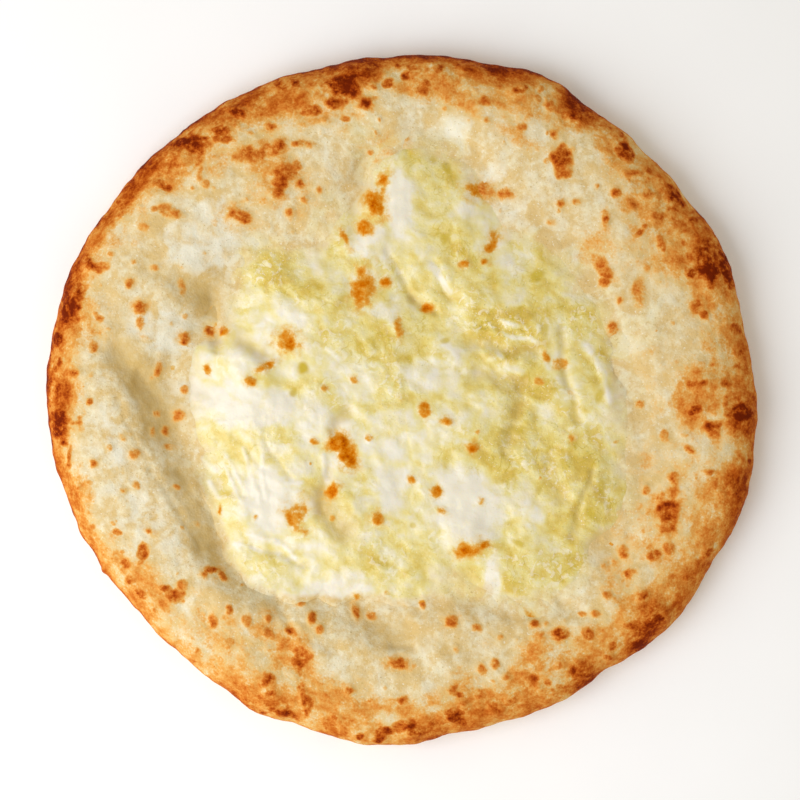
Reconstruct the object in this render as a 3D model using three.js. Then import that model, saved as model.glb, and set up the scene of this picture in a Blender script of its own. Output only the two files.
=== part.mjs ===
// A round cheese bread: a flat loaf with a puffed, uneven rim, and a sheet of melted cheese that
// lies over its low middle. Millimetres, +Z up. The origin is under the middle of the loaf, on the
// flat foot that it rests on, and bearings run anticlockwise from +X, in degrees.
import * as THREE from "three";

// Heights and widths of the loaf's cross-section.
const RIM_CREST = 21; // top of the puffed rim
const EDGE_HEIGHT = 8; // height of the loaf's widest line
const SHOULDER = 18; // width of the round shoulder from the widest line in to the crest
const FOOT_INSET = 11; // how far the flat foot stays inside the widest line
const VALLEY_DEEP = 10.5; // dough at the foot of the rim's inner slope, on its deep side
const VALLEY_SHALLOW = 17.5; // and on the side opposite
const DEEP_BEARING = 193;
const DEEP_BREADTH = 0.6; // below 1, the deep side is narrower than a half turn
const SLOPE_STEEPNESS = 3; // power of the inner slope's curve: more is steeper at its foot, flatter above
const MOUND = 15.5; // dough in the middle, under the cheese
const MOUND_SHARE = 0.55; // share of the way out to the cheese's edge at which the mound starts to fall

// The sheet of melted cheese.
const CHEESE_THICKNESS = 3.4;
const CHEESE_LIP = 1; // its thickness at the very edge
const CHEESE_ROUNDING = 0.16; // share of its reach over which it thins out to the lip
const CHEESE_GAP = 0.3; // air left between the dough and the cheese

// Outlines seen from above, as [bearing, radius] where the edge turns, from bearing 0.
const LOAF_EDGE = [
  [0, 150], [14, 147.5], [24, 150.3], [36, 147.6], [50, 146.5], [56, 146], [65, 149.5],
  [76, 147], [94, 145.2], [110, 145.3], [122, 146.9], [137, 147.5], [155, 150.6], [171, 151],
  [190, 150], [205, 147], [218, 144.5], [227, 143.5], [237, 144.5], [246, 146.8], [252, 145],
  [266, 147.8], [282, 143.2], [296, 144.8], [306, 144.6], [320, 149.2], [332, 149], [341, 151.2],
];
const CHEESE_EDGE = [
  [0, 101], [16, 96], [35, 97], [50, 95], [63, 93], [73, 108], [85, 114], [96, 106], [105, 92],
  [117, 83], [135, 93], [146, 92], [158, 90], [168, 97], [178, 100], [189, 97], [203, 91.5],
  [213, 94], [223, 101], [234, 102], [250, 91], [270, 85], [285, 84], [295, 98], [306, 110],
  [318, 112], [333, 111], [348, 105],
];

// Creases pressed into the dough, each a groove from one place to another.
const CREASES = [
  { from: [-12, 106], to: [-18, 78], width: 9, depth: 1.6 },
  { from: [-5, 63], to: [4, 42], width: 6, depth: 2 },
  { from: [-118, 14], to: [-100, -18], width: 7, depth: 1.8 },
  { from: [-12, -92], to: [4, -106], width: 8, depth: 2 },
  { from: [91, 22], to: [95, 2], width: 4, depth: 1.5 },
];

// Lumps that trapped steam raises in the dough, and heaps of curd in the cheese.
const DOUGH_LUMPS = { seed: 11, count: 70, reach: 135, narrow: 9, wide: 20, rise: 1.3 };
const CURD_LUMPS = { seed: 29, count: 90, reach: 110, narrow: 5, wide: 13, rise: 1.5 };

// Fineness of the facets.
const MIDDLE_RINGS = 20; // rings from the middle out to the cheese's edge
const RING_GROWTH = 6; // points that each of those rings adds to the last
const RIM_POINTS = 144; // points on every ring outside the cheese
const SLOPE_BANDS = 6;
const SHOULDER_BANDS = 5;
const UNDER_BANDS = 4;
const FOOT_SHARE = 0.5; // place of the one ring that splits the flat foot

// A closed outline as a smooth radius for any bearing.
function outline(edge) {
  const bearings = [...edge.map(([bearing]) => bearing), 360];
  const radii = [...edge.map(([, radius]) => radius), edge[0][1]];
  const curve = new THREE.CubicInterpolant(bearings, radii, 1);
  curve.settings = { endingStart: THREE.WrapAroundEnding, endingEnd: THREE.WrapAroundEnding };
  return (bearing) => curve.evaluate(bearing)[0];
}

const loafRadius = outline(LOAF_EDGE);
const cheeseRadius = outline(CHEESE_EDGE);

// Lumps at seeded places over a disc, each a round swelling or, as often, a dip.
function scatterLumps({ seed, count, reach, narrow, wide, rise }) {
  const random = THREE.MathUtils.seededRandom;
  random(seed);
  return Array.from({ length: count }, () => {
    const distance = reach * Math.sqrt(random());
    const turn = 2 * Math.PI * random();
    return {
      at: new THREE.Vector2(distance * Math.cos(turn), distance * Math.sin(turn)),
      width: THREE.MathUtils.lerp(narrow, wide, random()),
      rise: rise * (2 * random() - 1),
    };
  });
}

const doughLumps = scatterLumps(DOUGH_LUMPS);
const curdLumps = scatterLumps(CURD_LUMPS);

function lumpHeight(lumps, place) {
  return lumps.reduce((sum, { at, width, rise }) => {
    const away = place.distanceTo(at) / width;
    return sum + rise * Math.exp(-away * away);
  }, 0);
}

function creaseDepth(place) {
  const here = new THREE.Vector3(place.x, place.y, 0);
  return CREASES.reduce((sum, { from, to, width, depth }) => {
    const groove = new THREE.Line3(new THREE.Vector3(...from, 0), new THREE.Vector3(...to, 0));
    const nearest = groove.closestPointToPoint(here, true, new THREE.Vector3());
    const away = here.distanceTo(nearest) / width;
    return sum + depth * Math.exp(-away * away);
  }, 0);
}

// The low line round the cheese, deepest on one side of the loaf.
function valleyHeight(bearing) {
  const turn = THREE.MathUtils.degToRad(bearing - DEEP_BEARING);
  const shallow = ((1 - Math.cos(turn)) / 2) ** DEEP_BREADTH;
  return THREE.MathUtils.lerp(VALLEY_DEEP, VALLEY_SHALLOW, shallow);
}

function placeAt(bearing, radius) {
  const turn = THREE.MathUtils.degToRad(bearing);
  return new THREE.Vector2(radius * Math.cos(turn), radius * Math.sin(turn));
}

// A ring of points, each worked out from its bearing.
function ring(count, pointAt) {
  return Array.from({ length: count }, (_, step) => pointAt((360 * step) / count));
}

// A ring of the middle, which the dough and the cheese share, so that the gap between them is even.
function middleRing(number, heightAt) {
  const share = number / MIDDLE_RINGS;
  return ring(Math.max(1, RING_GROWTH * number), (bearing) => {
    const place = placeAt(bearing, share * cheeseRadius(bearing));
    return new THREE.Vector3(place.x, place.y, heightAt(place, bearing, share));
  });
}

// Dough under the cheese: a low mound that falls to the valley at the cheese's edge.
function moundTop(place, bearing, share) {
  const fall = THREE.MathUtils.smoothstep(share, MOUND_SHARE, 1);
  const base = THREE.MathUtils.lerp(MOUND, valleyHeight(bearing), fall);
  return base + lumpHeight(doughLumps, place) - creaseDepth(place);
}

function cheeseBottom(place, bearing, share) {
  return moundTop(place, bearing, share) + CHEESE_GAP;
}

function cheeseTop(place, bearing, share) {
  const fullness = THREE.MathUtils.smoothstep(1 - share, 0, CHEESE_ROUNDING);
  const body = CHEESE_THICKNESS - CHEESE_LIP + lumpHeight(curdLumps, place);
  return cheeseBottom(place, bearing, share) + CHEESE_LIP + fullness * Math.max(body, 0);
}

// The rim's inner slope, steep from the valley at the cheese's edge and level at the crest.
function slopeRing(share) {
  return ring(RIM_POINTS, (bearing) => {
    const crestRadius = loafRadius(bearing) - SHOULDER;
    const place = placeAt(bearing, THREE.MathUtils.lerp(cheeseRadius(bearing), crestRadius, share));
    const rise = 1 - (1 - share) ** SLOPE_STEEPNESS;
    const base = THREE.MathUtils.lerp(valleyHeight(bearing), RIM_CREST, rise);
    return new THREE.Vector3(place.x, place.y, base + lumpHeight(doughLumps, place) - creaseDepth(place));
  });
}

// The rim's round shoulder, from the crest at turn 90 degrees out to the widest line at turn 0.
function shoulderRing(turn) {
  const rise = Math.sin(THREE.MathUtils.degToRad(turn));
  const inset = SHOULDER * (1 - Math.cos(THREE.MathUtils.degToRad(turn)));
  return ring(RIM_POINTS, (bearing) => {
    const place = placeAt(bearing, loafRadius(bearing) - inset);
    const base = THREE.MathUtils.lerp(EDGE_HEIGHT, RIM_CREST, rise);
    return new THREE.Vector3(place.x, place.y, base + rise * lumpHeight(doughLumps, place));
  });
}

// The underside of the edge, from the widest line at turn 0 down to the flat foot at turn 90 degrees.
function underRing(turn) {
  const fall = Math.sin(THREE.MathUtils.degToRad(turn));
  const inset = FOOT_INSET * (1 - Math.cos(THREE.MathUtils.degToRad(turn)));
  return ring(RIM_POINTS, (bearing) => {
    const place = placeAt(bearing, loafRadius(bearing) - inset);
    return new THREE.Vector3(place.x, place.y, EDGE_HEIGHT * (1 - fall));
  });
}

function footRing(share) {
  return ring(share > 0 ? RIM_POINTS / 2 : 1, (bearing) => {
    const place = placeAt(bearing, share * (loafRadius(bearing) - FOOT_INSET));
    return new THREE.Vector3(place.x, place.y, 0);
  });
}

// The triangles of the band between two rings, which may hold different numbers of points.
function joinRings(from, to) {
  const fromSteps = from.length > 1 ? from.length : 0;
  const toSteps = to.length > 1 ? to.length : 0;
  const triangles = [];
  let a = 0;
  let b = 0;
  while (a < fromSteps || b < toSteps) {
    const here = from[a % from.length];
    const there = to[b % to.length];
    if (a === fromSteps || (b < toSteps && (b + 0.5) / toSteps <= (a + 0.5) / fromSteps)) {
      b += 1;
      triangles.push(here, there, to[b % to.length]);
    } else {
      a += 1;
      triangles.push(here, there, from[a % from.length]);
    }
  }
  return triangles;
}

// A closed surface from rings that run from a point on top, over the edge, to a point below.
function skin(rings) {
  const points = rings.flat();
  let first = 0;
  const numbered = rings.map((members) => members.map(() => first++));
  const triangles = numbered.slice(1).flatMap((members, band) => joinRings(numbered[band], members));
  const geometry = new THREE.BufferGeometry().setFromPoints(points);
  geometry.setIndex(triangles);
  geometry.computeVertexNormals();
  return geometry;
}

// Whole numbers from first to last, in either direction.
function count(first, last) {
  const step = Math.sign(last - first);
  return Array.from({ length: Math.abs(last - first) + 1 }, (_, index) => first + step * index);
}

function loafGeometry() {
  return skin([
    ...count(0, MIDDLE_RINGS).map((number) => middleRing(number, moundTop)),
    ...count(1, SLOPE_BANDS).map((band) => slopeRing(band / SLOPE_BANDS)),
    ...count(SHOULDER_BANDS - 1, 0).map((band) => shoulderRing((90 * band) / SHOULDER_BANDS)),
    ...count(1, UNDER_BANDS).map((band) => underRing((90 * band) / UNDER_BANDS)),
    footRing(FOOT_SHARE),
    footRing(0),
  ]);
}

function cheeseGeometry() {
  return skin([
    ...count(0, MIDDLE_RINGS).map((number) => middleRing(number, cheeseTop)),
    ...count(MIDDLE_RINGS, 0).map((number) => middleRing(number, cheeseBottom)),
  ]);
}

function namedMesh(name, geometry, color, roughness) {
  const mesh = new THREE.Mesh(geometry, new THREE.MeshStandardMaterial({ color, roughness, metalness: 0 }));
  mesh.name = name;
  return mesh;
}

const loaf = namedMesh("loaf", loafGeometry(), "#dcb27a", 0.7);
const cheese = namedMesh("cheese", cheeseGeometry(), "#efe2ae", 0.45);

// The edge is uneven, so the whole is slid until the origin is under the middle of its width and depth.
const middle = new THREE.Box3().setFromObject(loaf).getCenter(new THREE.Vector3());
const khachapuri = new THREE.Group();
khachapuri.add(loaf, cheese);
khachapuri.position.set(-middle.x, -middle.y, 0);

const part = new THREE.Group();
part.add(khachapuri);

export default part;
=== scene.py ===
# %% [markdown]
# # A round cheese bread
#
# The bread is a flat loaf about 30 cm across, with a puffed rim and melted cheese over its low middle.
# Its solids come in as a fixed frame: a node called loaf and a node called cheese. They have the true
# size and form, but plain facets. Each is replaced below by a finer skin that is laid over it, so no
# skin has to be fitted by eye.

# %% Load the frame
import math

import bmesh
import bpy
import numpy as np
from mathutils.bvhtree import BVHTree
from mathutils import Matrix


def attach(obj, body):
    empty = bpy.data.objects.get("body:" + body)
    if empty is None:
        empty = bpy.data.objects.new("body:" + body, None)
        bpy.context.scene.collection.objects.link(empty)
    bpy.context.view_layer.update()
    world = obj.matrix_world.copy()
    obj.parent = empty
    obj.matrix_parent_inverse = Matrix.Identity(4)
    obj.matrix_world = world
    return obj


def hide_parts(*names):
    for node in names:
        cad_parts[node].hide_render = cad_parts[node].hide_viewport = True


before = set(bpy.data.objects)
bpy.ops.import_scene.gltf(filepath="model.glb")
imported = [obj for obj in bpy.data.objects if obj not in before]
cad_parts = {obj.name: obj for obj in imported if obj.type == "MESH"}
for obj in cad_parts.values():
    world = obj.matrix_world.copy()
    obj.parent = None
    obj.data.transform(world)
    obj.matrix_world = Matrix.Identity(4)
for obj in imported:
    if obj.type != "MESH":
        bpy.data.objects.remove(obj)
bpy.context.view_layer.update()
MM = 0.001  # the scene is in metres, and sizes in this script are in millimetres

# %% [markdown]
# ## Camera
#
# The bread is seen from straight above. A long lens about a metre up keeps the rim from leaning
# outwards. A camera with no rotation looks down with +Y at the top of the picture, so only its place
# has to be worked out: high enough for the picture to be as wide as it is at the loaf's widest line.

# %% Camera
PICTURE_PIXELS = 800
PICTURE_MM_PER_PIXEL = 0.4237  # at the height of the loaf's widest line
ORIGIN_PIXEL = (402, 401)  # where the bread's middle is in the picture
WIDEST_LINE = 8  # height at which the loaf is widest
LENS = 100  # focal length
SENSOR = 36


def new_object(name, data):
    """An object in the scene, made from its data."""
    made = bpy.data.objects.new(name, data)
    bpy.context.scene.collection.objects.link(made)
    return made


picture_width = PICTURE_PIXELS * PICTURE_MM_PER_PIXEL
camera_height = WIDEST_LINE + picture_width * LENS / SENSOR
camera_data = bpy.data.cameras.new("overhead_camera")
camera_data.lens = LENS
camera_data.sensor_width = SENSOR
camera = new_object("overhead_camera", camera_data)
camera.location = (
    (PICTURE_PIXELS / 2 - ORIGIN_PIXEL[0]) * PICTURE_MM_PER_PIXEL * MM,
    (ORIGIN_PIXEL[1] - PICTURE_PIXELS / 2) * PICTURE_MM_PER_PIXEL * MM,
    camera_height * MM,
)
bpy.context.scene.camera = camera
print(f"camera {camera_height:.0f} mm up, picture {picture_width:.0f} mm wide")

# %% [markdown]
# ## Light
#
# Browned blisters and curds only read as relief when light comes from one side. One large soft lamp
# stands on the left, a little to the near side and half way up, and gives a little more than half of the
# light. An even sky gives the rest, so that the far side of each fold is dim but never black. The sky is
# a little warm and the lamp a little cool, so that shade on the bread turns beige. Watts are worked out
# from how bright the lamp should make a white table, which keeps colours close to the values typed in.

# %% Light
KEY_SHARE = 0.62  # brightness that the lamp alone gives a white table, where 1 is full white
SKY_SHARE = 0.56  # and the sky alone
KEY_DISTANCE = 1.04  # metres, as is the lamp's size
KEY_SIZE = 1.0
KEY_ELEVATION = math.radians(44)
KEY_BEARING = math.radians(206)
KEY_COLOUR = (1.0, 1.02, 1.1)
SKY_COLOUR = (1.0, 0.95, 0.85, 1.0)

world = bpy.data.worlds.new("studio_sky")
world.use_nodes = True
sky = world.node_tree.nodes["Background"]
sky.inputs["Color"].default_value = SKY_COLOUR
sky.inputs["Strength"].default_value = SKY_SHARE
bpy.context.scene.world = world

key_data = bpy.data.lights.new("soft_key", "AREA")
key_data.size = KEY_SIZE
key_data.energy = KEY_SHARE * math.pi**2 * KEY_DISTANCE**2 / math.sin(KEY_ELEVATION)
key_data.color = KEY_COLOUR
key = new_object("soft_key", key_data)
key.location = (
    KEY_DISTANCE * math.cos(KEY_ELEVATION) * math.cos(KEY_BEARING),
    KEY_DISTANCE * math.cos(KEY_ELEVATION) * math.sin(KEY_BEARING),
    KEY_DISTANCE * math.sin(KEY_ELEVATION),
)
key.rotation_euler = (-key.location).to_track_quat("-Z", "Y").to_euler()
bpy.context.scene.view_settings.view_transform = "Standard"
print(f"key lamp {key_data.energy:.1f} W")

# %% [markdown]
# ## Colours and nodes
#
# Colours are typed as the sRGB hex values that a colour picker shows. Shaders work in linear light, so
# one function turns them over. A second small function adds any node to any tree, sets its options and
# fills its inputs, either with a value or with another node's output. Every material and every
# geometry tree below is built with it.

# %% Colours and nodes
def linear(hex_colour):
    """An sRGB hex colour as linear red, green, blue and alpha."""
    channels = [int(hex_colour[i : i + 2], 16) / 255 for i in (1, 3, 5)]
    return [c / 12.92 if c <= 0.04045 else ((c + 0.055) / 1.055) ** 2.4 for c in channels] + [1.0]


def fill(tree, socket, value):
    """Gives an input a number, a hex colour or another node's output."""
    if isinstance(value, bpy.types.NodeSocket):
        tree.links.new(value, socket)
    else:
        socket.default_value = linear(value) if str(value).startswith("#") else value


def add(tree, kind, *values, output=0, stops=(), **settings):
    """Adds a node and gives one of its outputs.

    Values fill the node's inputs in order: numbers, hex colours or other nodes' outputs. A setting with
    a capital names an input, with _ for a space, and any other setting is an option of the node.
    """
    node = tree.nodes.new(kind if "Node" in kind else "ShaderNode" + kind)
    for name in filter(str.islower, settings):
        setattr(node, name, settings[name])
    inputs = [socket for socket in node.inputs if socket.enabled]
    by_name = {socket.name.replace(" ", "_"): socket for socket in inputs}
    for socket, value in zip(inputs, values):
        fill(tree, socket, value)
    for name, value in settings.items():
        if not name.islower():
            fill(tree, by_name[name], value)
    for number, (place, colour) in enumerate(stops):
        elements = node.color_ramp.elements
        stop = elements[number] if number < 2 else elements.new(place)
        stop.position = place
        stop.color = linear(colour)
    if isinstance(output, str):
        return node.outputs[output]
    return [socket for socket in node.outputs if socket.enabled][output] if node.outputs else None


print("#808080 in linear light:", round(linear("#808080")[0], 3))

# %% [markdown]
# ## Table
#
# The bread lies on a plain white table. It only has to be wide enough to fill every view, so it is one
# quad with a faint cloudiness in its paint.

# %% Table
TABLE_HALF_WIDTH = 4.0  # metres
TABLE_CLOUD = 60 * MM
TABLE_DROP = 0.3 * MM  # below the foot, so that the two faces don't fight
TABLE_TINTS = [(0.3, "#FBFBFA"), (0.7, "#FDFDFC")]
TABLE_ROUGHNESS = 0.8


def new_material(name):
    """A new material and its node tree."""
    material = bpy.data.materials.new(name)
    material.use_nodes = True
    return material, material.node_tree


def coat(tree, surface):
    """Fills inputs of a material's shader, each given by its name."""
    shader = tree.nodes["Principled BSDF"]
    for name, value in surface.items():
        fill(tree, shader.inputs[name], value)


table_paint, tree = new_material("white_table_paint")
cloud = add(tree, "TexNoise", add(tree, "TexCoord", output="Object"), Scale=1 / TABLE_CLOUD)
tint = add(tree, "ValToRGB", cloud, stops=TABLE_TINTS)
coat(tree, {"Base Color": tint, "Roughness": TABLE_ROUGHNESS})

table_mesh = bpy.data.meshes.new("table")
corners = np.array([(-1, -1, 0), (1, -1, 0), (1, 1, 0), (-1, 1, 0)]) * TABLE_HALF_WIDTH
table_mesh.from_pydata((corners - (0, 0, TABLE_DROP)).tolist(), [], [range(4)])
table_mesh.materials.append(table_paint)
table = new_object("table", table_mesh)
print(f"table {2 * TABLE_HALF_WIDTH:.0f} m wide")

# %% [markdown]
# ## Smooth copies of the solids
#
# A solid's facets are 6 or 7 mm across, and the finished skin needs points about 1 mm apart where it
# shows. Subdividing the whole solid that far would waste most of the points on the underside and below
# the cheese. Instead a copy is welded and rounded a little, and serves as a form to drop points on to.
# A BVH tree finds where a ray meets that form.

# %% Smooth copies of the solids
WELD = 1e-6  # metres between points that are one
ROUNDING_LEVELS = 2


def mesh_points(mesh):
    """A mesh's points, in millimetres."""
    points = np.empty(len(mesh.vertices) * 3)
    mesh.vertices.foreach_get("co", points)
    return points.reshape(-1, 3) / MM


def smooth_form(node):
    """The points of a rounded copy of a solid, and a tree to cast rays at it, both in millimetres."""
    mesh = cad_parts[node].data.copy()
    welded = bmesh.new()
    welded.from_mesh(mesh)
    bmesh.ops.remove_doubles(welded, verts=welded.verts, dist=WELD)
    welded.to_mesh(mesh)
    welded.free()
    form = new_object(node + "_form", mesh)
    rounding = form.modifiers.new("Rounding", "SUBSURF")
    rounding.levels = rounding.render_levels = ROUNDING_LEVELS
    evaluated = form.evaluated_get(bpy.context.evaluated_depsgraph_get()).to_mesh()
    points = mesh_points(evaluated)
    rays = BVHTree.FromPolygons(points.tolist(), [tuple(face.vertices) for face in evaluated.polygons])
    bpy.data.objects.remove(form)
    bpy.data.meshes.remove(mesh)
    return points, rays


loaf_points, loaf_rays = smooth_form("loaf")
cheese_points, cheese_rays = smooth_form("cheese")
print(f"forms: loaf {len(loaf_points)} points, cheese {len(cheese_points)} points")

# %% [markdown]
# ## Outlines, heights and noise
#
# Four small tools measure and roughen those forms. The first gives the outline's radius at any bearing,
# the second drops points on to a form, and the third is a smooth seeded noise for everything that chance
# decided in the oven. The last is a soft step, for whatever fades from one state into another.

# %% Outlines, heights and noise
OUTLINE_STEPS = 240  # bearings at which an outline is measured
DROP_FROM = 100  # a height above both forms
HASH_PRIMES = np.array([374761393, 668265263, 1440670441])  # one for each axis
HASH_SHIFT = 13
HASH_FACTOR = 1274126177
HASH_LIMIT = 2147483647
NOISE_LEVELS = 10007
NOISE_SHIFT = 1000  # a seed moves its noise by up to so many features


def outline(points):
    """A function that gives the largest radius of some points, by bearing."""
    bearing = np.arctan2(points[:, 1], points[:, 0]) % (2 * np.pi)
    step = (bearing / (2 * np.pi) * OUTLINE_STEPS).astype(int)
    radius = np.zeros(OUTLINE_STEPS)
    np.maximum.at(radius, step, np.hypot(points[:, 0], points[:, 1]))
    middle = (np.arange(OUTLINE_STEPS) + 0.5) * 2 * np.pi / OUTLINE_STEPS
    return lambda angle: np.interp(angle, middle, radius, period=2 * np.pi)


def heights(rays, places, otherwise):
    """The height at which each place, x and y, lies on a form, or another height where it misses."""
    hits = [rays.ray_cast((x, y, DROP_FROM), (0, 0, -1))[0] for x, y in places]
    return np.array([other if hit is None else hit.z for hit, other in zip(hits, otherwise)])


def noise(points, size, seed):
    """Smooth noise from -1 to 1, with features of about the given size."""
    cells = points / size + np.random.default_rng(seed).uniform(0, NOISE_SHIFT, points.shape[1])
    corner = np.floor(cells).astype(np.int64)
    blend = cells - corner
    blend = blend * blend * (3 - 2 * blend)
    total = np.zeros(len(points))
    for step in np.ndindex(*[2] * points.shape[1]):
        mixed = (corner + step) @ HASH_PRIMES[: points.shape[1]]
        mixed = (mixed ^ (mixed >> HASH_SHIFT)) * HASH_FACTOR % HASH_LIMIT
        share = np.prod(np.where(step, blend, 1 - blend), axis=1)
        total += share * (mixed % NOISE_LEVELS / (NOISE_LEVELS // 2) - 1)
    return total


def smoothstep(low, high, value):
    """A soft rise from 0 at one value to 1 at another, which may be the lower of the two."""
    share = np.clip((value - low) / (high - low), 0, 1)
    return share * share * (3 - 2 * share)


loaf_reach = outline(loaf_points)
cheese_reach = outline(cheese_points)
print(f"loaf reaches {loaf_reach(0.0):.1f} mm along +X, cheese {cheese_reach(0.0):.1f} mm")

# %% [markdown]
# ## Rings into a mesh
#
# Both skins are round, so both are built as rings of points. Neighbouring rings may have different
# numbers of points, which lets a skin be fine where it shows and coarse where it doesn't. The stitch
# walks round two rings at once and always takes its next step on the ring that is behind.

# %% Rings into a mesh
def stitch(first, first_count, second, second_count):
    """Triangles between two rings, each given by its first point's number and its count."""
    first_steps = first_count if first_count > 1 else 0
    second_steps = second_count if second_count > 1 else 0
    a = b = 0
    faces = []
    while a < first_steps or b < second_steps:
        here, there = first + a % first_count, second + b % second_count
        behind = b < second_steps and (b + 0.5) / second_steps <= (a + 0.5) / max(first_steps, 1)
        if a == first_steps or behind:
            b += 1
            faces.append((here, there, second + b % second_count))
        else:
            a += 1
            faces.append((here, there, first + a % first_count))
    return faces


def ring_mesh(name, rings):
    """A smooth-shaded mesh object from rings that run from the top's middle to the underside's."""
    starts = np.cumsum([0] + [len(ring) for ring in rings])
    faces = []
    for number in range(len(rings) - 1):
        faces += stitch(starts[number], len(rings[number]), starts[number + 1], len(rings[number + 1]))
    mesh = bpy.data.meshes.new(name)
    mesh.from_pydata((np.vstack(rings) * MM).tolist(), [], faces)
    mesh.shade_smooth()
    piece = new_object(name, mesh)
    print(f"{name}: {len(mesh.vertices)} points, {len(faces)} triangles")
    return piece


def bearings(count):
    return np.arange(count) * 2 * np.pi / count


def ring_places(angle, radius):
    return np.column_stack((radius * np.cos(angle), radius * np.sin(angle)))


# %% [markdown]
# ## The loaf's skin
#
# From above, the dough that shows is a band between the cheese and the edge, and that band gets most of
# the points. On top they are dropped straight down on to the form. Round the shoulder that would spread
# them too thin, so there they are sent out sideways from a core circle inside the rim, like spokes in a
# tyre. What lies below the cheese is coarse, and sunk a little so that it can't show through.

# %% The loaf's skin
LOAF_SECTORS = 960
TOP_RINGS = 56
UNDER_CHEESE = 13  # how far the fine band runs in under the cheese
CORE_INSET = 17  # the core circle's distance inside the edge
CORE_HEIGHT = 9  # about that of the widest line, so that spokes meet the side squarely
HIDDEN_SINK = 1.5  # how far the dough below the cheese is lowered
# Points in a ring, and its share of the way out to the fine band or to the foot's edge.
HIDDEN_RINGS = [(1, 0.0), (60, 0.2), (120, 0.4), (160, 0.6), (240, 0.8), (480, 0.94)]
FOOT_RINGS = [(960, 0.985), (480, 0.96), (480, 0.9), (240, 0.75), (240, 0.5), (120, 0.25), (1, 0.0)]
# Close together down to the widest line, and wider apart below it.
SPOKE_ANGLES = np.radians([*np.arange(86.5, 0, -3.5), *np.arange(-3, -80, -7)])


def dropped_ring(count, radius_at, sink=0.0):
    angle = bearings(count)
    places = ring_places(angle, radius_at(angle))
    return np.column_stack((places, heights(loaf_rays, places, np.zeros(count)) - sink))


def spoke_ring(tilt):
    """Where spokes from the core circle, tilted up by an angle, come out of the loaf's side."""
    angle = bearings(LOAF_SECTORS)
    level = np.ones(LOAF_SECTORS)
    core = np.column_stack((ring_places(angle, fine_outer(angle)), CORE_HEIGHT * level))
    way = np.column_stack((ring_places(angle, np.cos(tilt) * level), np.sin(tilt) * level))
    spokes = zip(core.tolist(), way.tolist())
    return np.array([loaf_rays.ray_cast(start, along)[0] for start, along in spokes])


def fine_inner(angle):
    return cheese_reach(angle) - UNDER_CHEESE


def fine_outer(angle):
    return loaf_reach(angle) - CORE_INSET


loaf_rings = [
    dropped_ring(count, lambda angle: share * fine_inner(angle), HIDDEN_SINK)
    for count, share in HIDDEN_RINGS
]
for share in np.linspace(0, 1, TOP_RINGS):
    loaf_rings.append(
        dropped_ring(LOAF_SECTORS, lambda angle: (1 - share) * fine_inner(angle) + share * fine_outer(angle))
    )
loaf_rings += [spoke_ring(tilt) for tilt in SPOKE_ANGLES]
foot_reach = np.hypot(loaf_rings[-1][:, 0], loaf_rings[-1][:, 1])
for count, share in FOOT_RINGS:
    radius = share * np.interp(bearings(count), bearings(LOAF_SECTORS), foot_reach, period=2 * np.pi)
    loaf_rings.append(np.column_stack((ring_places(bearings(count), radius), np.zeros(count))))

loaf = ring_mesh("baked_loaf", loaf_rings)

# %% [markdown]
# ## The cheese's skin
#
# The cheese is a thin sheet that ran while it was hot, so its edge is wavier than the solid's. On the
# near left it stopped as a round lip a few millimetres thick. Elsewhere it thinned out to nothing on the
# dough. Its points are dropped on both forms, which gives the sheet's thickness at each place, and the
# thickness then fades out towards the edge over a short or a long way.

# %% The cheese's skin
CHEESE_RINGS = 164
CHEESE_RING_GROWTH = 6  # points that each ring has more than the one inside it
CHEESE_UNDERSIDE = [(480, 0.97), (240, 0.85), (120, 0.6), (60, 0.3), (1, 0.0)]
CHEESE_SINK = 0.8  # how deep its underside sits in the dough
EDGE_SINK = 0.7  # how far its edge dips into the dough
EDGE_WAVES = [(26, 2.6, 3), (9, 2.2, 4), (4, 1.0, 5)]  # size, height and seed
LIP_BEARING = np.radians(243)
LIP_SPREAD = (0.66, 0.88)  # cosines of the turns from there at which the lip is gone and is whole
# The way over which it gets thick, the run past the solid's edge, and the band that takes on its colour.
LIP = {"fade": 4.0, "run": 0.5, "clear": (0.0, 7.0)}
THIN = {"fade": 42.0, "run": 5.0, "clear": (5.0, 24.0)}
THIN_SHEET = 1.3  # least thickness, as where the cheese ran past the solid


def lip_share(angle):
    """1 where the cheese ends in a lip, 0 where it thins out."""
    return smoothstep(*LIP_SPREAD, np.cos(angle - LIP_BEARING))


def cheese_edge(angle):
    places = np.column_stack((ring_places(angle, cheese_reach(angle)), np.zeros(len(angle))))
    waves = sum(height * noise(places, size, seed) for size, height, seed in EDGE_WAVES)
    run = THIN["run"] + (LIP["run"] - THIN["run"]) * lip_share(angle)
    return cheese_reach(angle) + run + waves


def cheese_ring(count, share):
    """A ring of the cheese's top. Two last columns say how full and how clear of the edge it is."""
    angle = bearings(count)
    reach = cheese_edge(angle)
    places = ring_places(angle, share * reach)
    dough = heights(loaf_rays, places, np.zeros(count))
    thickness = np.maximum(heights(cheese_rays, places, dough + THIN_SHEET) - dough, THIN_SHEET)
    lip = lip_share(angle)
    inset = (1 - share) * reach
    rounded = np.sqrt(1 - (1 - np.clip(inset / LIP["fade"], 0, 1)) ** 2)
    body = lip * rounded + (1 - lip) * smoothstep(0, THIN["fade"], inset)
    sheet = lip * smoothstep(*LIP["clear"], inset) + (1 - lip) * smoothstep(*THIN["clear"], inset)
    return np.column_stack((places, dough + thickness * body - EDGE_SINK * (1 - body), body, sheet))


def cheese_under(count, share):
    angle = bearings(count)
    places = ring_places(angle, share * cheese_edge(angle))
    sunk = heights(loaf_rays, places, np.zeros(count)) - CHEESE_SINK
    return np.column_stack((places, sunk, np.zeros(count), np.zeros(count)))


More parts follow.
